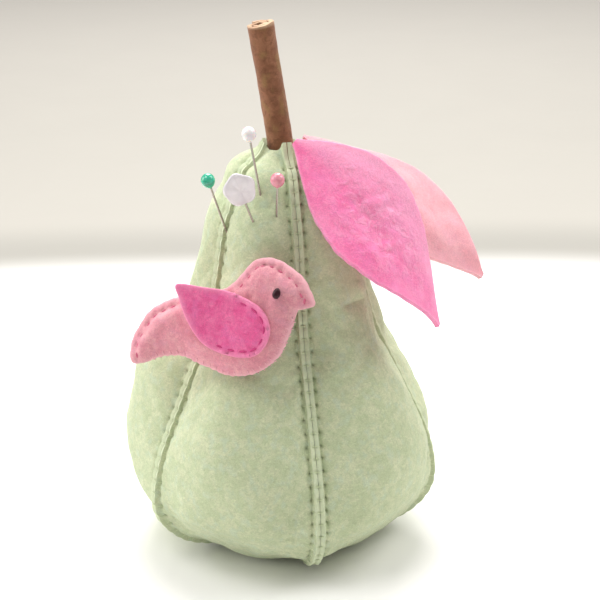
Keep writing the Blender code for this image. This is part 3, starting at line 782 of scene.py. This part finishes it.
def move_at(moves, share, across_all):
    """The coarse pear's moves at shares of the seam's length and places round it, 0 to 5."""
    rows, around = moves.shape[:2]
    i = np.clip(share * (rows - 1), 0, rows - 1.001)
    j = across_all / 5 * around
    i0, j0 = np.floor(i).astype(int), np.floor(j).astype(int)
    u, v = (i - i0)[:, None], (j - j0)[:, None]
    near, far = j0 % around, (j0 + 1) % around
    upper = moves[i0, near] * (1 - v) + moves[i0, far] * v
    lower = moves[i0 + 1, near] * (1 - v) + moves[i0 + 1, far] * v
    return upper * (1 - u) + lower * u


def pin_dimples(place):
    """How strongly the felt is drawn in round each pin at points of a gore."""
    found = np.zeros(len(place))
    for entry, _, _ in PINS.values():
        found = np.maximum(found, bell(np.linalg.norm(place - np.array(entry), axis=1), PIN_DIMPLE))
    return found


def make_gore(number, material, moves):
    """One felt gore: its long edges turn out into two seam ridges, which the stitches pinch."""
    half_seam = (SEAM_GAP + FELT) / 2
    radius0 = SEAM.line[:, 0] - SEAM.normal[:, 0] * SEAM.ridge / 2
    inset = np.arcsin(np.minimum(half_seam / radius0, 0.9))
    half_angle = HALF_GORE - inset
    low = -SEAM.ridge / 2 - FELT / 2
    bulge = SEAM.bulge[number]
    middle = math.radians(FIRST_SEAM + 72 * number + 36)
    fillet_angle = np.arcsin(np.minimum(FILLET / radius0, 0.5))
    seams = {-1: number, 1: (number + 1) % 5}
    holes = {
        side: HOLE_DEPTH * pull(seam, side * STITCH_SLANT / 2, HOLE_WIDTH)
        for side, seam in seams.items()
    }
    sides = {}
    for side, seam in seams.items():
        seam_angle = math.radians(FIRST_SEAM + 72 * (number + (side > 0)))
        pinch = pull(seam)
        drop = CREST_DROP * (SEAM.ridge - BASE_RIDGE) / (RIDGE - BASE_RIDGE)
        crest = SEAM.ridge / 2 - drop - PINCH * pinch
        root = np.minimum(low + FILLET, crest - 0.2)
        sides[side] = []
        for t in np.linspace(1, 0, FLANGE_COLUMNS):
            beside = half_seam - CREST_CLOSE * t - 0.03 * pinch
            radius, height = SEAM.moved(root + (crest - root) * t, FELT / 2)
            angle = seam_angle - side * np.arcsin(np.clip(beside / radius, -0.9, 0.9))
            sides[side].append((angle, radius, height, t, np.zeros(GORE_ROWS)))
        for turn in np.radians(np.linspace(0, 90, FILLET_COLUMNS))[1:]:
            reach = inset + fillet_angle * (1 - math.cos(turn))
            across = 1 - (reach - inset) / half_angle
            out = low + bulge * (1 - across**2) + FILLET * (1 - math.sin(turn))
            hole = holes[side] * bell(radius0 * reach - STITCH_REACH, HOLE_WIDTH)
            radius, height = SEAM.moved(out - hole, FELT / 2)
            sides[side].append((seam_angle - side * reach, radius, height, 0.0, hole))

    start = 1 - fillet_angle / half_angle
    even = np.linspace(-1, 1, BODY_COLUMNS)
    body = []
    eased = COLUMN_EASE * np.sin(even * math.pi / 2) + (1 - COLUMN_EASE) * even
    for share in eased[1:-1]:
        across = share * start
        angle = middle + across * half_angle
        out = low + bulge * (1 - across**2)
        from_seam = {side: radius0 * (half_angle * (1 - side * across) + inset) for side in seams}
        hole = sum(holes[k] * bell(from_seam[k] - STITCH_REACH, HOLE_WIDTH) for k in seams)
        radius, height = SEAM.moved(out - hole, FELT / 2)
        place = round_axis(radius, height, angle)
        # Lumps of the filling, none of them near a seam
        clear = 1 - bell(np.minimum(from_seam[-1], from_seam[1]), LUMP_CLEAR)
        lump = clear * (LUMP * waves(place, 22, 7) + SMALL_LUMP * waves(place, 7, 8))
        if number == GORES.index("front_left"):
            lump = lump - PIN_DIMPLE_DEPTH * pin_dimples(place)
        radius = radius + SEAM.normal[:, 0] * lump
        height = height + SEAM.normal[:, 1] * lump
        turned = np.full(GORE_ROWS, number + (across + 1) / 2)
        move = move_at(moves, SEAM.share, turned)
        radius = radius + move[:, 0] * np.sin(angle) - move[:, 1] * np.cos(angle)
        height = height + move[:, 2]
        body.append((angle, radius, np.maximum(height, FELT / 2), 0.0, hole))

    columns = sides[-1] + body + sides[1][::-1]
    grid = np.zeros((GORE_ROWS, len(columns), 3))
    edge = np.zeros((GORE_ROWS, len(columns)))
    shade = np.zeros((GORE_ROWS, len(columns)))
    top = np.clip(1 - SEAM.run / TIP_REACH, 0, 1) ** 2
    for j, (angle, radius, height, at_edge, hole) in enumerate(columns):
        # The felt's corners stand up round the stem
        rise = sum(
            TIP_RISE[seam] * bell(radius * (angle - middle - side * HALF_GORE), TIP_WIDTH)
            for side, seam in seams.items()
        )
        radius = radius + TIP_SPREAD * rise * top
        height = height + rise * top
        grid[:, j] = round_axis(radius, height, angle)
        # The ridge's crest takes the lighter edge colour: the fuzz of cut felt and a painted highlight
        # along the crest
        edge[:, j] = max(at_edge - CREST_PALE_FROM, 0) * CREST_PALE
        # Painted shade: each stitch hole's depth also darkens the felt's colour
        shade[:, j] = np.clip(hole / HOLE_DEPTH, 0, 1)
    faces = grid_faces(GORE_ROWS, len(columns))
    obj = add_piece("felt_gore_" + GORES[number], grid.reshape(-1, 3), faces, material)
    set_attribute(obj, "edge", edge)
    set_attribute(obj, "hole", shade)
    thicken(obj)
    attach(obj, "cushion")
    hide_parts("panel_" + GORES[number])


def make_seam_stitches(number, material):
    """Whipstitches over a seam's ridge, each from a hole on one side to a hole on the other."""
    top = RIDGE / 2 - CREST_DROP - PINCH + THREAD / 2
    mirrored = [(-x, z) for x, z in STITCH_PATH[::-1]]
    across = smooth_curve(STITCH_PATH + [(0, top)] + mirrored, 15)
    lean = np.linspace(STITCH_SLANT / 2, -STITCH_SLANT / 2, len(across))
    tubes = Tubes()
    for run in stitch_places(number):
        path = [
            seam_point(number, run + slant, beside, out, floor=0.2)
            for slant, (beside, out) in zip(lean, across)
        ]
        tubes.add(path, THREAD, sides=7)
    obj = tubes.build(f"seam_stitches_{number + 1}", material)
    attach(obj, "cushion")
    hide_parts(f"seam_thread_{number + 1}")


def make_stuffing(material):
    """Packed fibre inside the gores, a little lumpy."""
    low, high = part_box("stuffing")
    top = high.z / MM
    rows, around = STUFFING_GRID
    grid = pear_grid(Seam(rows), around, FELT + STUFFING_CLEAR)
    grid = grid[grid[..., 2].min(axis=1) < top]
    inward = np.abs(waves(grid, 6, 31))[..., None] * STUFFING_TUFT
    away = grid * np.array((1, 1, 0))
    away /= np.linalg.norm(away, axis=-1, keepdims=True)
    grid = grid - away * inward
    grid[..., 2] = np.clip(grid[..., 2], low.z / MM, top)
    faces = tube_faces(len(grid), around)
    verts = grid.reshape(-1, 3)
    obj = add_piece("stuffing_fibre", verts, faces, material)
    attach(obj, "cushion")
    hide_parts("stuffing")


def make_base_rosette(material):
    """The thread star that draws the gores' tips together under the base."""
    tubes = Tubes()
    for k in range(ROSETTE_RAYS):
        angle = math.radians(FIRST_SEAM + 360 / ROSETTE_RAYS * k)
        out = np.array((math.sin(angle), -math.cos(angle), 0))
        path = [out * r + np.array((0, 0, z)) for r, z in ROSETTE_RAY]
        tubes.add(smooth_curve(path, 9), THREAD)

    def at(radius, angle):
        return radius * math.cos(angle), radius * math.sin(angle), ROSETTE_HEIGHT

    tubes.add([at(ROSETTE_RADIUS, a) for a in np.linspace(0, 2 * math.pi, 24)], ROSETTE_CORD)
    tubes.add([at(r, 5 * r) for r in np.linspace(0.05, 1.1, 20)], ROSETTE_MIDDLE_CORD)
    obj = tubes.build("base_rosette", material)
    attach(obj, "cushion")
    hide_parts("base_tack")


# ---------------------------------------------------------------- stem


def stem_matrix():
    lean = Vector(
        (-math.tan(math.radians(STEM_LEAN_LEFT)), -math.tan(math.radians(STEM_LEAN_FRONT)), 1)
    )
    return aim(STEM_FOOT, lean.normalized())


def make_stem(material):
    """A strip of brown felt rolled up tightly, its cut ends showing as a spiral."""
    pitch = FELT + GAP
    turns = (STEM_RADIUS - STEM_CORE - FELT) / pitch
    steps, levels = STEM_GRID
    turned = turns * np.linspace(0, 1, steps)
    angle = 2 * math.pi * turned + math.radians(STEM_SPIN)
    radius = STEM_CORE + FELT / 2 + pitch * turned
    grid = np.zeros((steps, levels, 3))
    grid[..., 0] = (radius * np.cos(angle))[:, None]
    grid[..., 1] = (radius * np.sin(angle))[:, None]
    grid[..., 2] = np.linspace(0, STEM_LENGTH, levels)
    away = grid * np.array((1, 1, 0))
    away /= np.linalg.norm(away, axis=-1, keepdims=True)
    wobble = 0.10 * waves(grid * np.array((1, 1, 0.5)), 9, 41) + 0.05 * waves(grid, 3, 42)
    grid = grid + away * wobble[..., None]
    grid[:, -1, 2] += 0.25 * waves(grid[:, -1], 4, 43)
    obj = add_piece("rolled_stem", grid.reshape(-1, 3), grid_faces(steps, levels), material)
    near_end = np.minimum(STEM_LENGTH - grid[..., 2], 3.0)
    # The cut end at the top takes the lighter edge colour: the fuzz of cut felt and a painted rim
    # highlight
    set_attribute(obj, "edge", np.clip(1 - near_end / 0.5, 0, 1))
    thicken(obj, rim=0.3)
    obj.matrix_world = stem_matrix()
    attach(obj, "cushion")
    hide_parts("stem")


# ---------------------------------------------------------------- leaves


def leaf_frames(name, count):
    """Along a leaf: the middle line, the direction to its upper edge, its normal and half width."""
    root, heading, rise, roll, length = LEAVES[name]
    widest = LEAF_ROOT_POWER / (LEAF_ROOT_POWER + LEAF_TIP_POWER)
    step = length / (count - 1)
    middle = Vector(root)
    before = None
    frames = []
    for i in range(count):
        s = i / (count - 1)
        angle, climb, twist = (
            math.radians(start + (end - start) * s) for start, end in (heading, rise, roll)
        )
        along = Vector(
            (math.cos(climb) * math.cos(angle), math.cos(climb) * math.sin(angle), math.sin(climb))
        )
        level = Vector((-math.sin(angle), math.cos(angle), 0))
        across = level * math.cos(twist) + along.cross(level) * math.sin(twist)
        if before is not None:
            middle = middle + (before + along) * (step / 2)
        before = along
        shape = (s / widest) ** LEAF_ROOT_POWER * ((1 - s) / (1 - widest)) ** LEAF_TIP_POWER
        half = LEAF_BLUNT + (LEAF_HALF_WIDTH - LEAF_BLUNT) * shape
        frames.append((middle.copy(), across, along.cross(across), half))
    return frames


def make_leaf(name, material, crinkle, seed, trim=0.0, painted_highlight=LEAF_PAINTED_HIGHLIGHT, drop=0.0):
    """A drooping felt leaf with a soft hand-cut edge, pitted in the middle, with a painted highlight
    towards its upper edge near the root.

    trim cuts its far side narrower near the root, and drop lets the root end sink.
    """
    count, wide = LEAF_GRID
    grid = np.zeros((count, wide, 3))
    normals = np.zeros((count, wide, 3))
    sides = np.linspace(-1, 1, wide)
    edge = np.zeros((count, wide))
    cut = bell(np.linspace(0, 1, count) - TRIM_AT, TRIM_WIDTH)
    sink = (1 - np.linspace(0, 1, count)) ** 3
    for i, (middle, across, normal, half) in enumerate(leaf_frames(name, count)):
        hand = 1 + 0.010 * math.sin(i * 0.22 + seed) + 0.006 * math.sin(i * 0.6)
        for j, side in enumerate(sides):
            distance = side * half * hand * (1 - trim * cut[i] * max(side, 0.0))
            sag = normal * (LEAF_CAMBER * distance**2)
            grid[i, j] = middle + across * distance - sag - Vector((0, 0, drop * sink[i]))
            normals[i, j] = normal
            edge[i, j] = bell(half * (1 - abs(side)), LEAF_EDGE_WIDTH)
    share = np.linspace(0, 1, count)[:, None]
    inner = 1 - np.abs(sides)[None, :] ** 4
    centre = bell(share - PITTED_AT, PITTED_LENGTH) * bell(sides[None, :] + 0.05, PITTED_WIDTH)
    bumps = LEAF_SWELL * waves(grid, 11, seed) * np.sin(math.pi * share) ** 0.5
    bumps = bumps + crinkle * centre * (waves(grid, 5.2, seed + 1) + 0.5 * waves(grid, 2.8, seed + 2))
    grid = grid + normals * (bumps * inner)[..., None]
    # Painted highlight: lighter towards the upper edge near the root, where light from above falls
    fade = painted_highlight * np.clip((sides[None, :] + 0.25) / 1.1, 0, 1) * (1 - share) ** 0.6
    obj = add_piece("felt_" + name, grid.reshape(-1, 3), grid_faces(count, wide), material)
    # Lighter rim: the fuzz of cut felt and a painted rim highlight
    set_attribute(obj, "edge", LEAF_RIM * edge)
    set_attribute(obj, "fade", fade)
    set_attribute(obj, "pit", centre)
    thicken(obj)
    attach(obj, name)
    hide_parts(name)


# ---------------------------------------------------------------- bird


def bird_matrix():
    """Local X along the bird towards its beak, local Y up it, local Z out of the pear."""
    heading = math.radians(BIRD_HEADING)
    lean = math.radians(BIRD_LEAN)
    out = Vector(
        (math.sin(heading) * math.cos(lean), -math.cos(heading) * math.cos(lean), math.sin(lean))
    )
    along = Vector((math.cos(heading), math.sin(heading), 0))
    turn = Matrix((along, out.cross(along), out)).transposed().to_4x4()
    place = Vector((0, 0, BIRD_HEIGHT)) + out * BIRD_STANDOFF
    return Matrix.Translation(place * MM) @ turn


def distances(outline, points):
    """How far each point is from a closed outline."""
    step = np.roll(outline, -1, axis=0) - outline
    away = points[:, None, :] - outline[None, :, :]
    share = np.clip((away * step).sum(-1) / (step**2).sum(-1), 0, 1)
    return np.linalg.norm(away - share[..., None] * step, axis=-1).min(axis=1)


def insides(outline, points):
    x, y = points[:, 0], points[:, 1]
    result = np.zeros(len(points), bool)
    for (x0, y0), (x1, y1) in zip(outline, np.roll(outline, -1, axis=0)):
        if y0 != y1:
            meets = (y0 > y) != (y1 > y)
            result ^= meets & (x < x0 + (y - y0) / (y1 - y0) * (x1 - x0))
    return result


def dome(outline, points):
    """How far the padded front stands up at points of the bird's plane."""
    reach = np.minimum(distances(outline, points) / BIRD_DOME_REACH, 1.0)
    return np.where(insides(outline, points), BIRD_DOME * np.sin(reach * math.pi / 2), 0.0)


def filled_outline(outline, spacing):
    """Points and triangles that fill a closed outline, the points in even rows."""
    low, high = outline.min(axis=0), outline.max(axis=0)
    inner = []
    for row, y in enumerate(np.arange(low[1], high[1], spacing * 0.866)):
        for x in np.arange(low[0] + spacing / 2 * (row % 2), high[0], spacing):
            inner.append((x, y))
    inner = np.array(inner)
    inner = inner[insides(outline, inner)]
    inner = inner[distances(outline, inner) > spacing * 0.55]
    points = [Vector(p) for p in outline] + [Vector(p) for p in inner]
    count = len(outline)
    edges = [(i, (i + 1) % count) for i in range(count)]
    found = delaunay_2d_cdt(points, edges, [list(range(count))], 1, 1e-6)
    return np.array([tuple(p) for p in found[0]]), [tuple(f) for f in found[2]]


def inset_line(outline, start, end, depth, pitch):
    """Places of stitches along an outline from share start to share end, depth inside it."""
    closed = np.vstack([outline, outline[:1]])
    run = run_along(closed)
    total = run[-1]
    count = max(2, round((end - start) * total / pitch))
    places = []
    for share in np.linspace(start, end, count):
        s = (share % 1) * total
        here = np.array([np.interp(s, run, closed[:, i]) for i in range(2)])
        ahead = np.array([np.interp((s + 0.4) % total, run, closed[:, i]) for i in range(2)])
        along = (ahead - here) / np.linalg.norm(ahead - here)
        inward = np.array((-along[1], along[0]))
        if not insides(outline, (here + inward * 0.3)[None])[0]:
            inward = -inward
        places.append((here + inward * depth, along, inward))
    return places


def wing_height(outline, points):
    """The wing lies on the bird's dome in front, spans its back edge level, and lifts at the tip."""
    free = np.clip((-points[:, 0] - WING_FREE_FROM) / WING_FREE_REACH, 0, 1)
    level = np.clip((WING_SPAN_FROM - points[:, 0]) / WING_SPAN_REACH, 0, 1)
    level = BIRD_DOME * level**2 * (3 - 2 * level)
    return WING_LEVEL + np.maximum(dome(outline, points), level) + WING_LIFT * free**1.5


def dents(points, stitches, width=DENT_WIDTH):
    """How strongly running stitches pull the felt down at each point, 0 to 1."""
    found = np.zeros(len(points))
    for place, along, _ in stitches:
        away = points - place
        lengthwise = np.maximum(np.abs(away @ along) - 0.5, 0)
        sideways = np.abs(away @ np.array((-along[1], along[0])))
        found = np.maximum(found, bell(np.hypot(lengthwise, sideways), width))
    return found


def add_running_stitches(tubes, stitches, height, length, radius):
    for place, along, _ in stitches:
        path = []
        for t in np.linspace(-1, 1, 7):
            point = place + along * (t * length / 2)
            level = height(point[None])[0] + FELT / 2 - 0.25 + 0.35 * (1 - t**2)
            path.append((*point, level))
        tubes.add(path, radius, sides=7, taper=0.25)


def add_whipstitches(tubes, stitches, height, radius):
    """Short stitches over the bird's edge, down to the felt behind it."""
    for place, _, inward in stitches:
        path = []
        for t in np.linspace(0, 1, 8):
            point = place + inward * (1.3 - 1.4 * t)
            top = height(point[None])[0] + FELT / 2 + 0.1
            level = top * math.cos(max(t - 0.55, 0) / 0.45 * math.pi / 2) + 0.4
            path.append((*point, level if t > 0 else level - 0.5))
        tubes.add(path, radius, sides=7)


def stuffed_bird(outline, points, faces, level, stitches):
    """How far the padded front rises as cloth, held at its edge and its running stitches."""
    count = len(points)
    base = np.column_stack([points, np.full(count, FRONT_LEVEL - 1)])
    verts = np.vstack([np.column_stack([points, level]), base])
    rim = len(outline)
    faces = list(faces) + [tuple(i + count for i in face[::-1]) for face in faces]
    faces += [(k, k + count, (k + 1) % rim + count, (k + 1) % rim) for k in range(rim)]
    held = np.ones(2 * count, bool)
    held[rim:count] = dents(points[rim:], stitches) >= STITCH_HOLDS
    return blown(verts, faces, held, BIRD_CAP)[:count, 2]


def place_flat(obj):
    obj.matrix_world = bird_matrix()
    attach(obj, "cushion")


def add_layer(name, points, faces, level, material, edge):
    """A layer of felt on the bird's plane; edge says where its cut edge shows lighter, partly the fuzz
    of cut felt and partly a painted rim highlight.
    """
    obj = add_piece(name, np.column_stack([points, level]), faces, material)
    set_attribute(obj, "edge", edge)
    thicken(obj)
    place_flat(obj)
    return obj


def make_bird(materials):
    outline = smooth_curve(BIRD_OUTLINE, BIRD_POINTS, closed=True)
    steps = np.arange(BIRD_POINTS)
    hand = 0.12 * np.sin(steps * 0.45) + 0.06 * np.sin(steps * 1.3)
    middle = outline.mean(axis=0)
    away = (outline - middle) / np.linalg.norm(outline - middle, axis=1)[:, None]
    outline = outline + away * hand[:, None]
    wing = smooth_curve(WING_OUTLINE, WING_POINTS, closed=True)
    head_stitches = inset_line(outline, *HEAD_STITCHES)
    tail_stitches = inset_line(outline, *TAIL_STITCHES)
    edge_stitches = inset_line(outline, *EDGE_STITCHES)
    for place, _, inward in edge_stitches:
        near = bell(np.linalg.norm(outline - place, axis=1), SCALLOP_WIDTH)
        outline = outline + inward * (SCALLOP * near)[:, None]
    wing_stitches = inset_line(wing, *WING_STITCHES)
    stitches = head_stitches + tail_stitches

    # Back layer
    points, faces = filled_outline(outline, FLAT_FELT)
    level = np.full(len(points), FELT / 2)
    # Lighter cut edge: the fuzz of cut felt and a painted rim highlight
    edge = bell(distances(outline, points), 0.35)
    pale = materials["pale_pink"]
    back = add_layer("bird_back_felt", points, faces, level, pale, edge)
    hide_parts("bird_back")

    # Padded front layer
    points, faces = filled_outline(outline, FINE_FELT)
    bumps = np.column_stack([points, np.zeros(len(points))])
    level = FRONT_LEVEL + dome(outline, points)
    inner = np.clip(distances(outline, points) / 3, 0, 1)
    level = level + stuffed_bird(outline, points, faces, level, stitches)
    level = level + inner * (0.12 * waves(bumps, 6, 51) + 0.05 * waves(bumps, 2.2, 52))
    level = level - HEAD_DENT * dents(points, stitches)
    for place, _, _ in edge_stitches:
        level = level - EDGE_DENT * bell(np.linalg.norm(points - place, axis=1), DENT_WIDTH)
    # Lighter cut edge: the fuzz of cut felt and a painted rim highlight
    edge = bell(distances(outline, points), 0.55)
    front = add_layer("bird_front_felt", points, faces, level, pale, edge)
    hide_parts("bird_front")

    # Filling between the two
    inside = inset_line(outline, 0, 0.995, FILLING_INSET, FILLING_FINE)
    rim = np.array([place for place, _, _ in inside])
    rim = rim[distances(outline, rim) > FILLING_INSET * 0.97]
    points, faces = filled_outline(rim, FILLING_FINE)
    count = len(points)
    base = np.column_stack([points, np.full(count, FELT + GAP)])
    tuft = 0.25 * np.abs(waves(base, 3, 61))
    level = FRONT_LEVEL + dome(outline, points) - 0.6 * FELT - 2 * GAP - tuft
    top = np.column_stack([points, level])
    bm = bmesh.new()
    made = [bm.verts.new(p) for p in np.vstack([base, top])]
    for face in faces:
        bm.faces.new([made[i] for i in face[::-1]])
        bm.faces.new([made[i + count] for i in face])
    border = [e for e in bm.edges if len(e.link_faces) == 1]
    bmesh.ops.bridge_loops(bm, edges=border)
    bmesh.ops.recalc_face_normals(bm, faces=bm.faces)
    filling = add_solid("bird_filling_fibre", bm, materials["fibre"])
    place_flat(filling)
    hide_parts("bird_filling")

    # Wing, its rear tip free
    points, faces = filled_outline(wing, FINE_FELT)
    bumps = np.column_stack([points, np.zeros(len(points))])
    level = wing_height(outline, points) + 0.10 * waves(bumps, 5, 71) + 0.04 * waves(bumps, 2, 72)
    level = level - WING_DENT * dents(points, wing_stitches)
    # Lighter cut edge: the fuzz of cut felt and a painted rim highlight
    edge = 0.8 * bell(distances(wing, points), 0.95)
    hot = materials["hot_pink"]
    obj = add_layer("wing_felt", points, faces, level, hot, edge)
    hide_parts("wing")

    # Stitches
    def front_height(p):
        return FRONT_LEVEL + dome(outline, p) - HEAD_DENT * dents(p, stitches)

    def edge_height(p):
        return FRONT_LEVEL + dome(outline, p) - 0.3

    def on_wing(p):
        return wing_height(outline, p) - WING_DENT * dents(p, wing_stitches)

    tubes = Tubes()
    add_running_stitches(tubes, stitches, front_height, *FRONT_STITCH)
    place_flat(tubes.build("bird_stitches", materials["bird_thread"]))
    tubes = Tubes()
    add_whipstitches(tubes, edge_stitches, edge_height, EDGE_STITCH_RADIUS)
    place_flat(tubes.build("bird_edge_stitches", materials["edge_thread"]))
    tubes = Tubes()
    add_running_stitches(tubes, wing_stitches, on_wing, *WING_STITCH)
    place_flat(tubes.build("wing_stitches", materials["wing_thread"]))

    # Eye
    bm = bmesh.new()
    bmesh.ops.create_uvsphere(bm, u_segments=28, v_segments=18, radius=1.0)
    tilt = Matrix.Rotation(math.radians(EYE_TURN), 3, "Z")
    wide, tall, deep = EYE_SHAPE
    for vert in bm.verts:
        x, y, z = vert.co
        vert.co = tilt @ Vector((x * (wide - EYE_POINTED * y), y * tall, z * deep))
    eye = add_solid("eye", bm, materials["bead"])
    low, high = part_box("eye_bead")
    turn = bird_matrix().to_3x3().to_4x4()
    eye.matrix_world = Matrix.Translation((low + high) / 2) @ turn
    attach(eye, "cushion")
    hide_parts("eye_bead")


# ---------------------------------------------------------------- pins


def pin_matrix(name):
    entry, direction, shown = PINS[name]
    unit = Vector(direction).normalized()
    return aim(Vector(entry) + unit * shown, unit)


def add_turned(name, profile, segments, material, matrix):
    """A round piece turned from (radius, height) points, closed at both ends."""
    verts = []
    for radius, height in profile:
        for k in range(segments):
            angle = 2 * math.pi * k / segments
            verts.append((radius * math.cos(angle), radius * math.sin(angle), height))
    obj = add_piece(name, verts, tube_faces(len(profile), segments), material)
    face_out(obj.data)
    obj.matrix_world = matrix
    return obj


def make_ball_head(name, material):
    """A ball of glass that drew down a little along the shaft while it was soft."""
    centre = HEAD_RADIUS * HEAD_DRAW - HEAD_GRIP
    profile = []
    for k in range(1, BALL_RINGS):
        angle = math.pi * k / BALL_RINGS
        radius = HEAD_RADIUS * math.sin(angle)
        height = HEAD_RADIUS * math.cos(angle)
        if height < 0:
            height *= HEAD_DRAW
            radius = radius * (1 - BALL_DRAWN_IN * (height / (HEAD_RADIUS * HEAD_DRAW)) ** 2)
        profile.append((max(radius, 0.05), centre + height))
    profile.append((BALL_NECK, centre - HEAD_RADIUS * HEAD_DRAW - 0.25))
    obj = add_turned("head_" + name, profile, BALL_SEGMENTS, material, pin_matrix(name))
    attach(obj, "pin_" + name)
    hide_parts("pin_head_" + name)


def flower_turn(matrix):
    """Rotation about the shaft that brings local -Y round to the side the flower faces."""
    wanted = matrix.to_3x3().inverted() @ Vector(FLOWER_FACES)
    return Matrix.Rotation(math.atan2(wanted.x, -wanted.y), 4, "Z")


def make_flower_head(material):
    """A flat moulded flower with soft petals, thickest along the middle where the shaft goes in."""
    rings, around = FLOWER_GRID
    angles = np.linspace(0, 2 * math.pi, around, endpoint=False)
    petal = np.sin(FLOWER_PETALS * angles)
    verts = []
    for face_side in (-1, 1):
        for share in np.linspace(0.02, 1, rings):
            radius = FLOWER_RADIUS * (FLOWER_MEAN + (1 - FLOWER_MEAN) * petal) * share
            groove = FLOWER_GROOVE * (1 - petal) * share * (1 - share**4)
            thick = FLOWER_THICKNESS / 2 * math.sqrt(1 - share**5) - groove
            x, z = radius * np.cos(angles), radius * np.sin(angles) * FLOWER_STRETCH
            verts.append(np.stack([x, face_side * thick, z], axis=1))
    verts = np.vstack(verts)
    half = rings * around
    faces = grid_faces(rings, around, around=True)
    faces += [tuple(reversed(f)) for f in grid_faces(rings, around, around=True, start=half)]
    faces.append(tuple(range(around)))
    faces.append(tuple(range(half + around - 1, half - 1, -1)))
    verts[:, 2] += FLOWER_RADIUS * FLOWER_STRETCH * FLOWER_MEAN - FLOWER_GRIP
    obj = add_piece("head_flower", verts, faces, material)
    face_out(obj.data, weld=0.01 * MM)
    matrix = pin_matrix("flower")
    obj.matrix_world = matrix @ flower_turn(matrix)
    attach(obj, "pin_flower")
    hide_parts("pin_head_flower")


# ---------------------------------------------------------------- stage, light, camera


def make_stage():
    """A white table top that turns, past a dark band of painted shade, to warm cream further off, in
    every direction alike.
    """
    bpy.ops.mesh.primitive_plane_add(size=FLOOR_SIZE, location=(0, 0, -0.02 * MM))
    floor = bpy.context.object
    floor.name = "floor"
    n = Nodes("floor")
    parts = n.node("SeparateXYZ", Vector=n.place)
    x, y = (n.math("POWER", n.math("ABSOLUTE", parts.outputs[axis], 0), 4) for axis in "XY")
    far = n.math("POWER", n.math("ADD", x, y), 0.25)
    colour = FLOOR_NEAR
    for start, end, further in FLOOR_BANDS:
        colour = n.mix(n.spread(far, start, end), colour, further)
    n.set(Base_Color=colour, Roughness=n.spread(n.noise(40.0), 0.3, 0.7, 0.6, 0.75))
    n.set(Specular_IOR_Level=0.1)
    floor.data.materials.append(n.material)


def add_light(name, place, target, size, power, colour):
    data = bpy.data.lights.new(name, "AREA")
    data.energy = power
    data.size = size
    data.color = colour
    obj = add_object(name, data)
    obj.location = place
    obj.rotation_euler = (Vector(target) - Vector(place)).to_track_quat("-Z", "Y").to_euler()


def make_lights():
    world = bpy.data.worlds.new("studio")
    bpy.context.scene.world = world
    world.use_nodes = True
    background = world.node_tree.nodes["Background"]
    background.inputs["Color"].default_value = WORLD_COLOUR
    background.inputs["Strength"].default_value = WORLD_STRENGTH
    for name, light in LIGHTS.items():
        add_light(name, *light)


def make_camera():
    data = bpy.data.cameras.new("camera")
    data.lens = CAMERA_LENS
    data.sensor_width = 36
    data.clip_start = 0.01
    camera = add_object("camera", data)
    place = Vector(CAMERA_PLACE) * MM
    target = Vector(CAMERA_TARGET) * MM
    turn = (target - place).to_track_quat("-Z", "Y").to_matrix().to_4x4()
    roll = Matrix.Rotation(math.radians(CAMERA_ROLL), 4, "Z")
    camera.matrix_world = Matrix.Translation(place) @ turn @ roll
    bpy.context.scene.camera = camera
    bpy.context.scene.view_settings.view_transform = "Standard"


# ---------------------------------------------------------------- the scene

materials = {key: make_felt(key + "_felt", *felt[:5], **felt[5]) for key, felt in FELTS.items()}
materials |= {name: make_thread(name, *colours) for name, colours in THREADS.items()}
materials |= {"fibre": make_fibre(), "bead": make_bead(), "steel": make_steel()}
pear_moves = stuffed_pear()
for number in range(5):
    make_gore(number, materials["green"], pear_moves)
    make_seam_stitches(number, materials["green_thread"])
make_stuffing(materials["fibre"])
make_base_rosette(materials["green_thread"])
make_stem(materials["brown"])
make_leaf("leaf_front", materials["leaf_pink"], crinkle=0.2, seed=81)
make_leaf(
    "leaf_back",
    materials["back_leaf_pink"],
    crinkle=0.05,
    seed=91,
    trim=0.45,
    painted_highlight=0.2,
    drop=0.7,
)
make_bird(materials)
for name in ("white", "green", "pink"):
    make_ball_head(name, make_glass_head(name + "_head", *HEADS[name]))
make_flower_head(make_glass_head("flower_head", *HEADS["flower"]))
for name in PINS:
    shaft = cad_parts["pin_shaft_" + name]
    shaft.data.materials.clear()
    shaft.data.materials.append(materials["steel"])
make_stage()
make_lights()
make_camera()
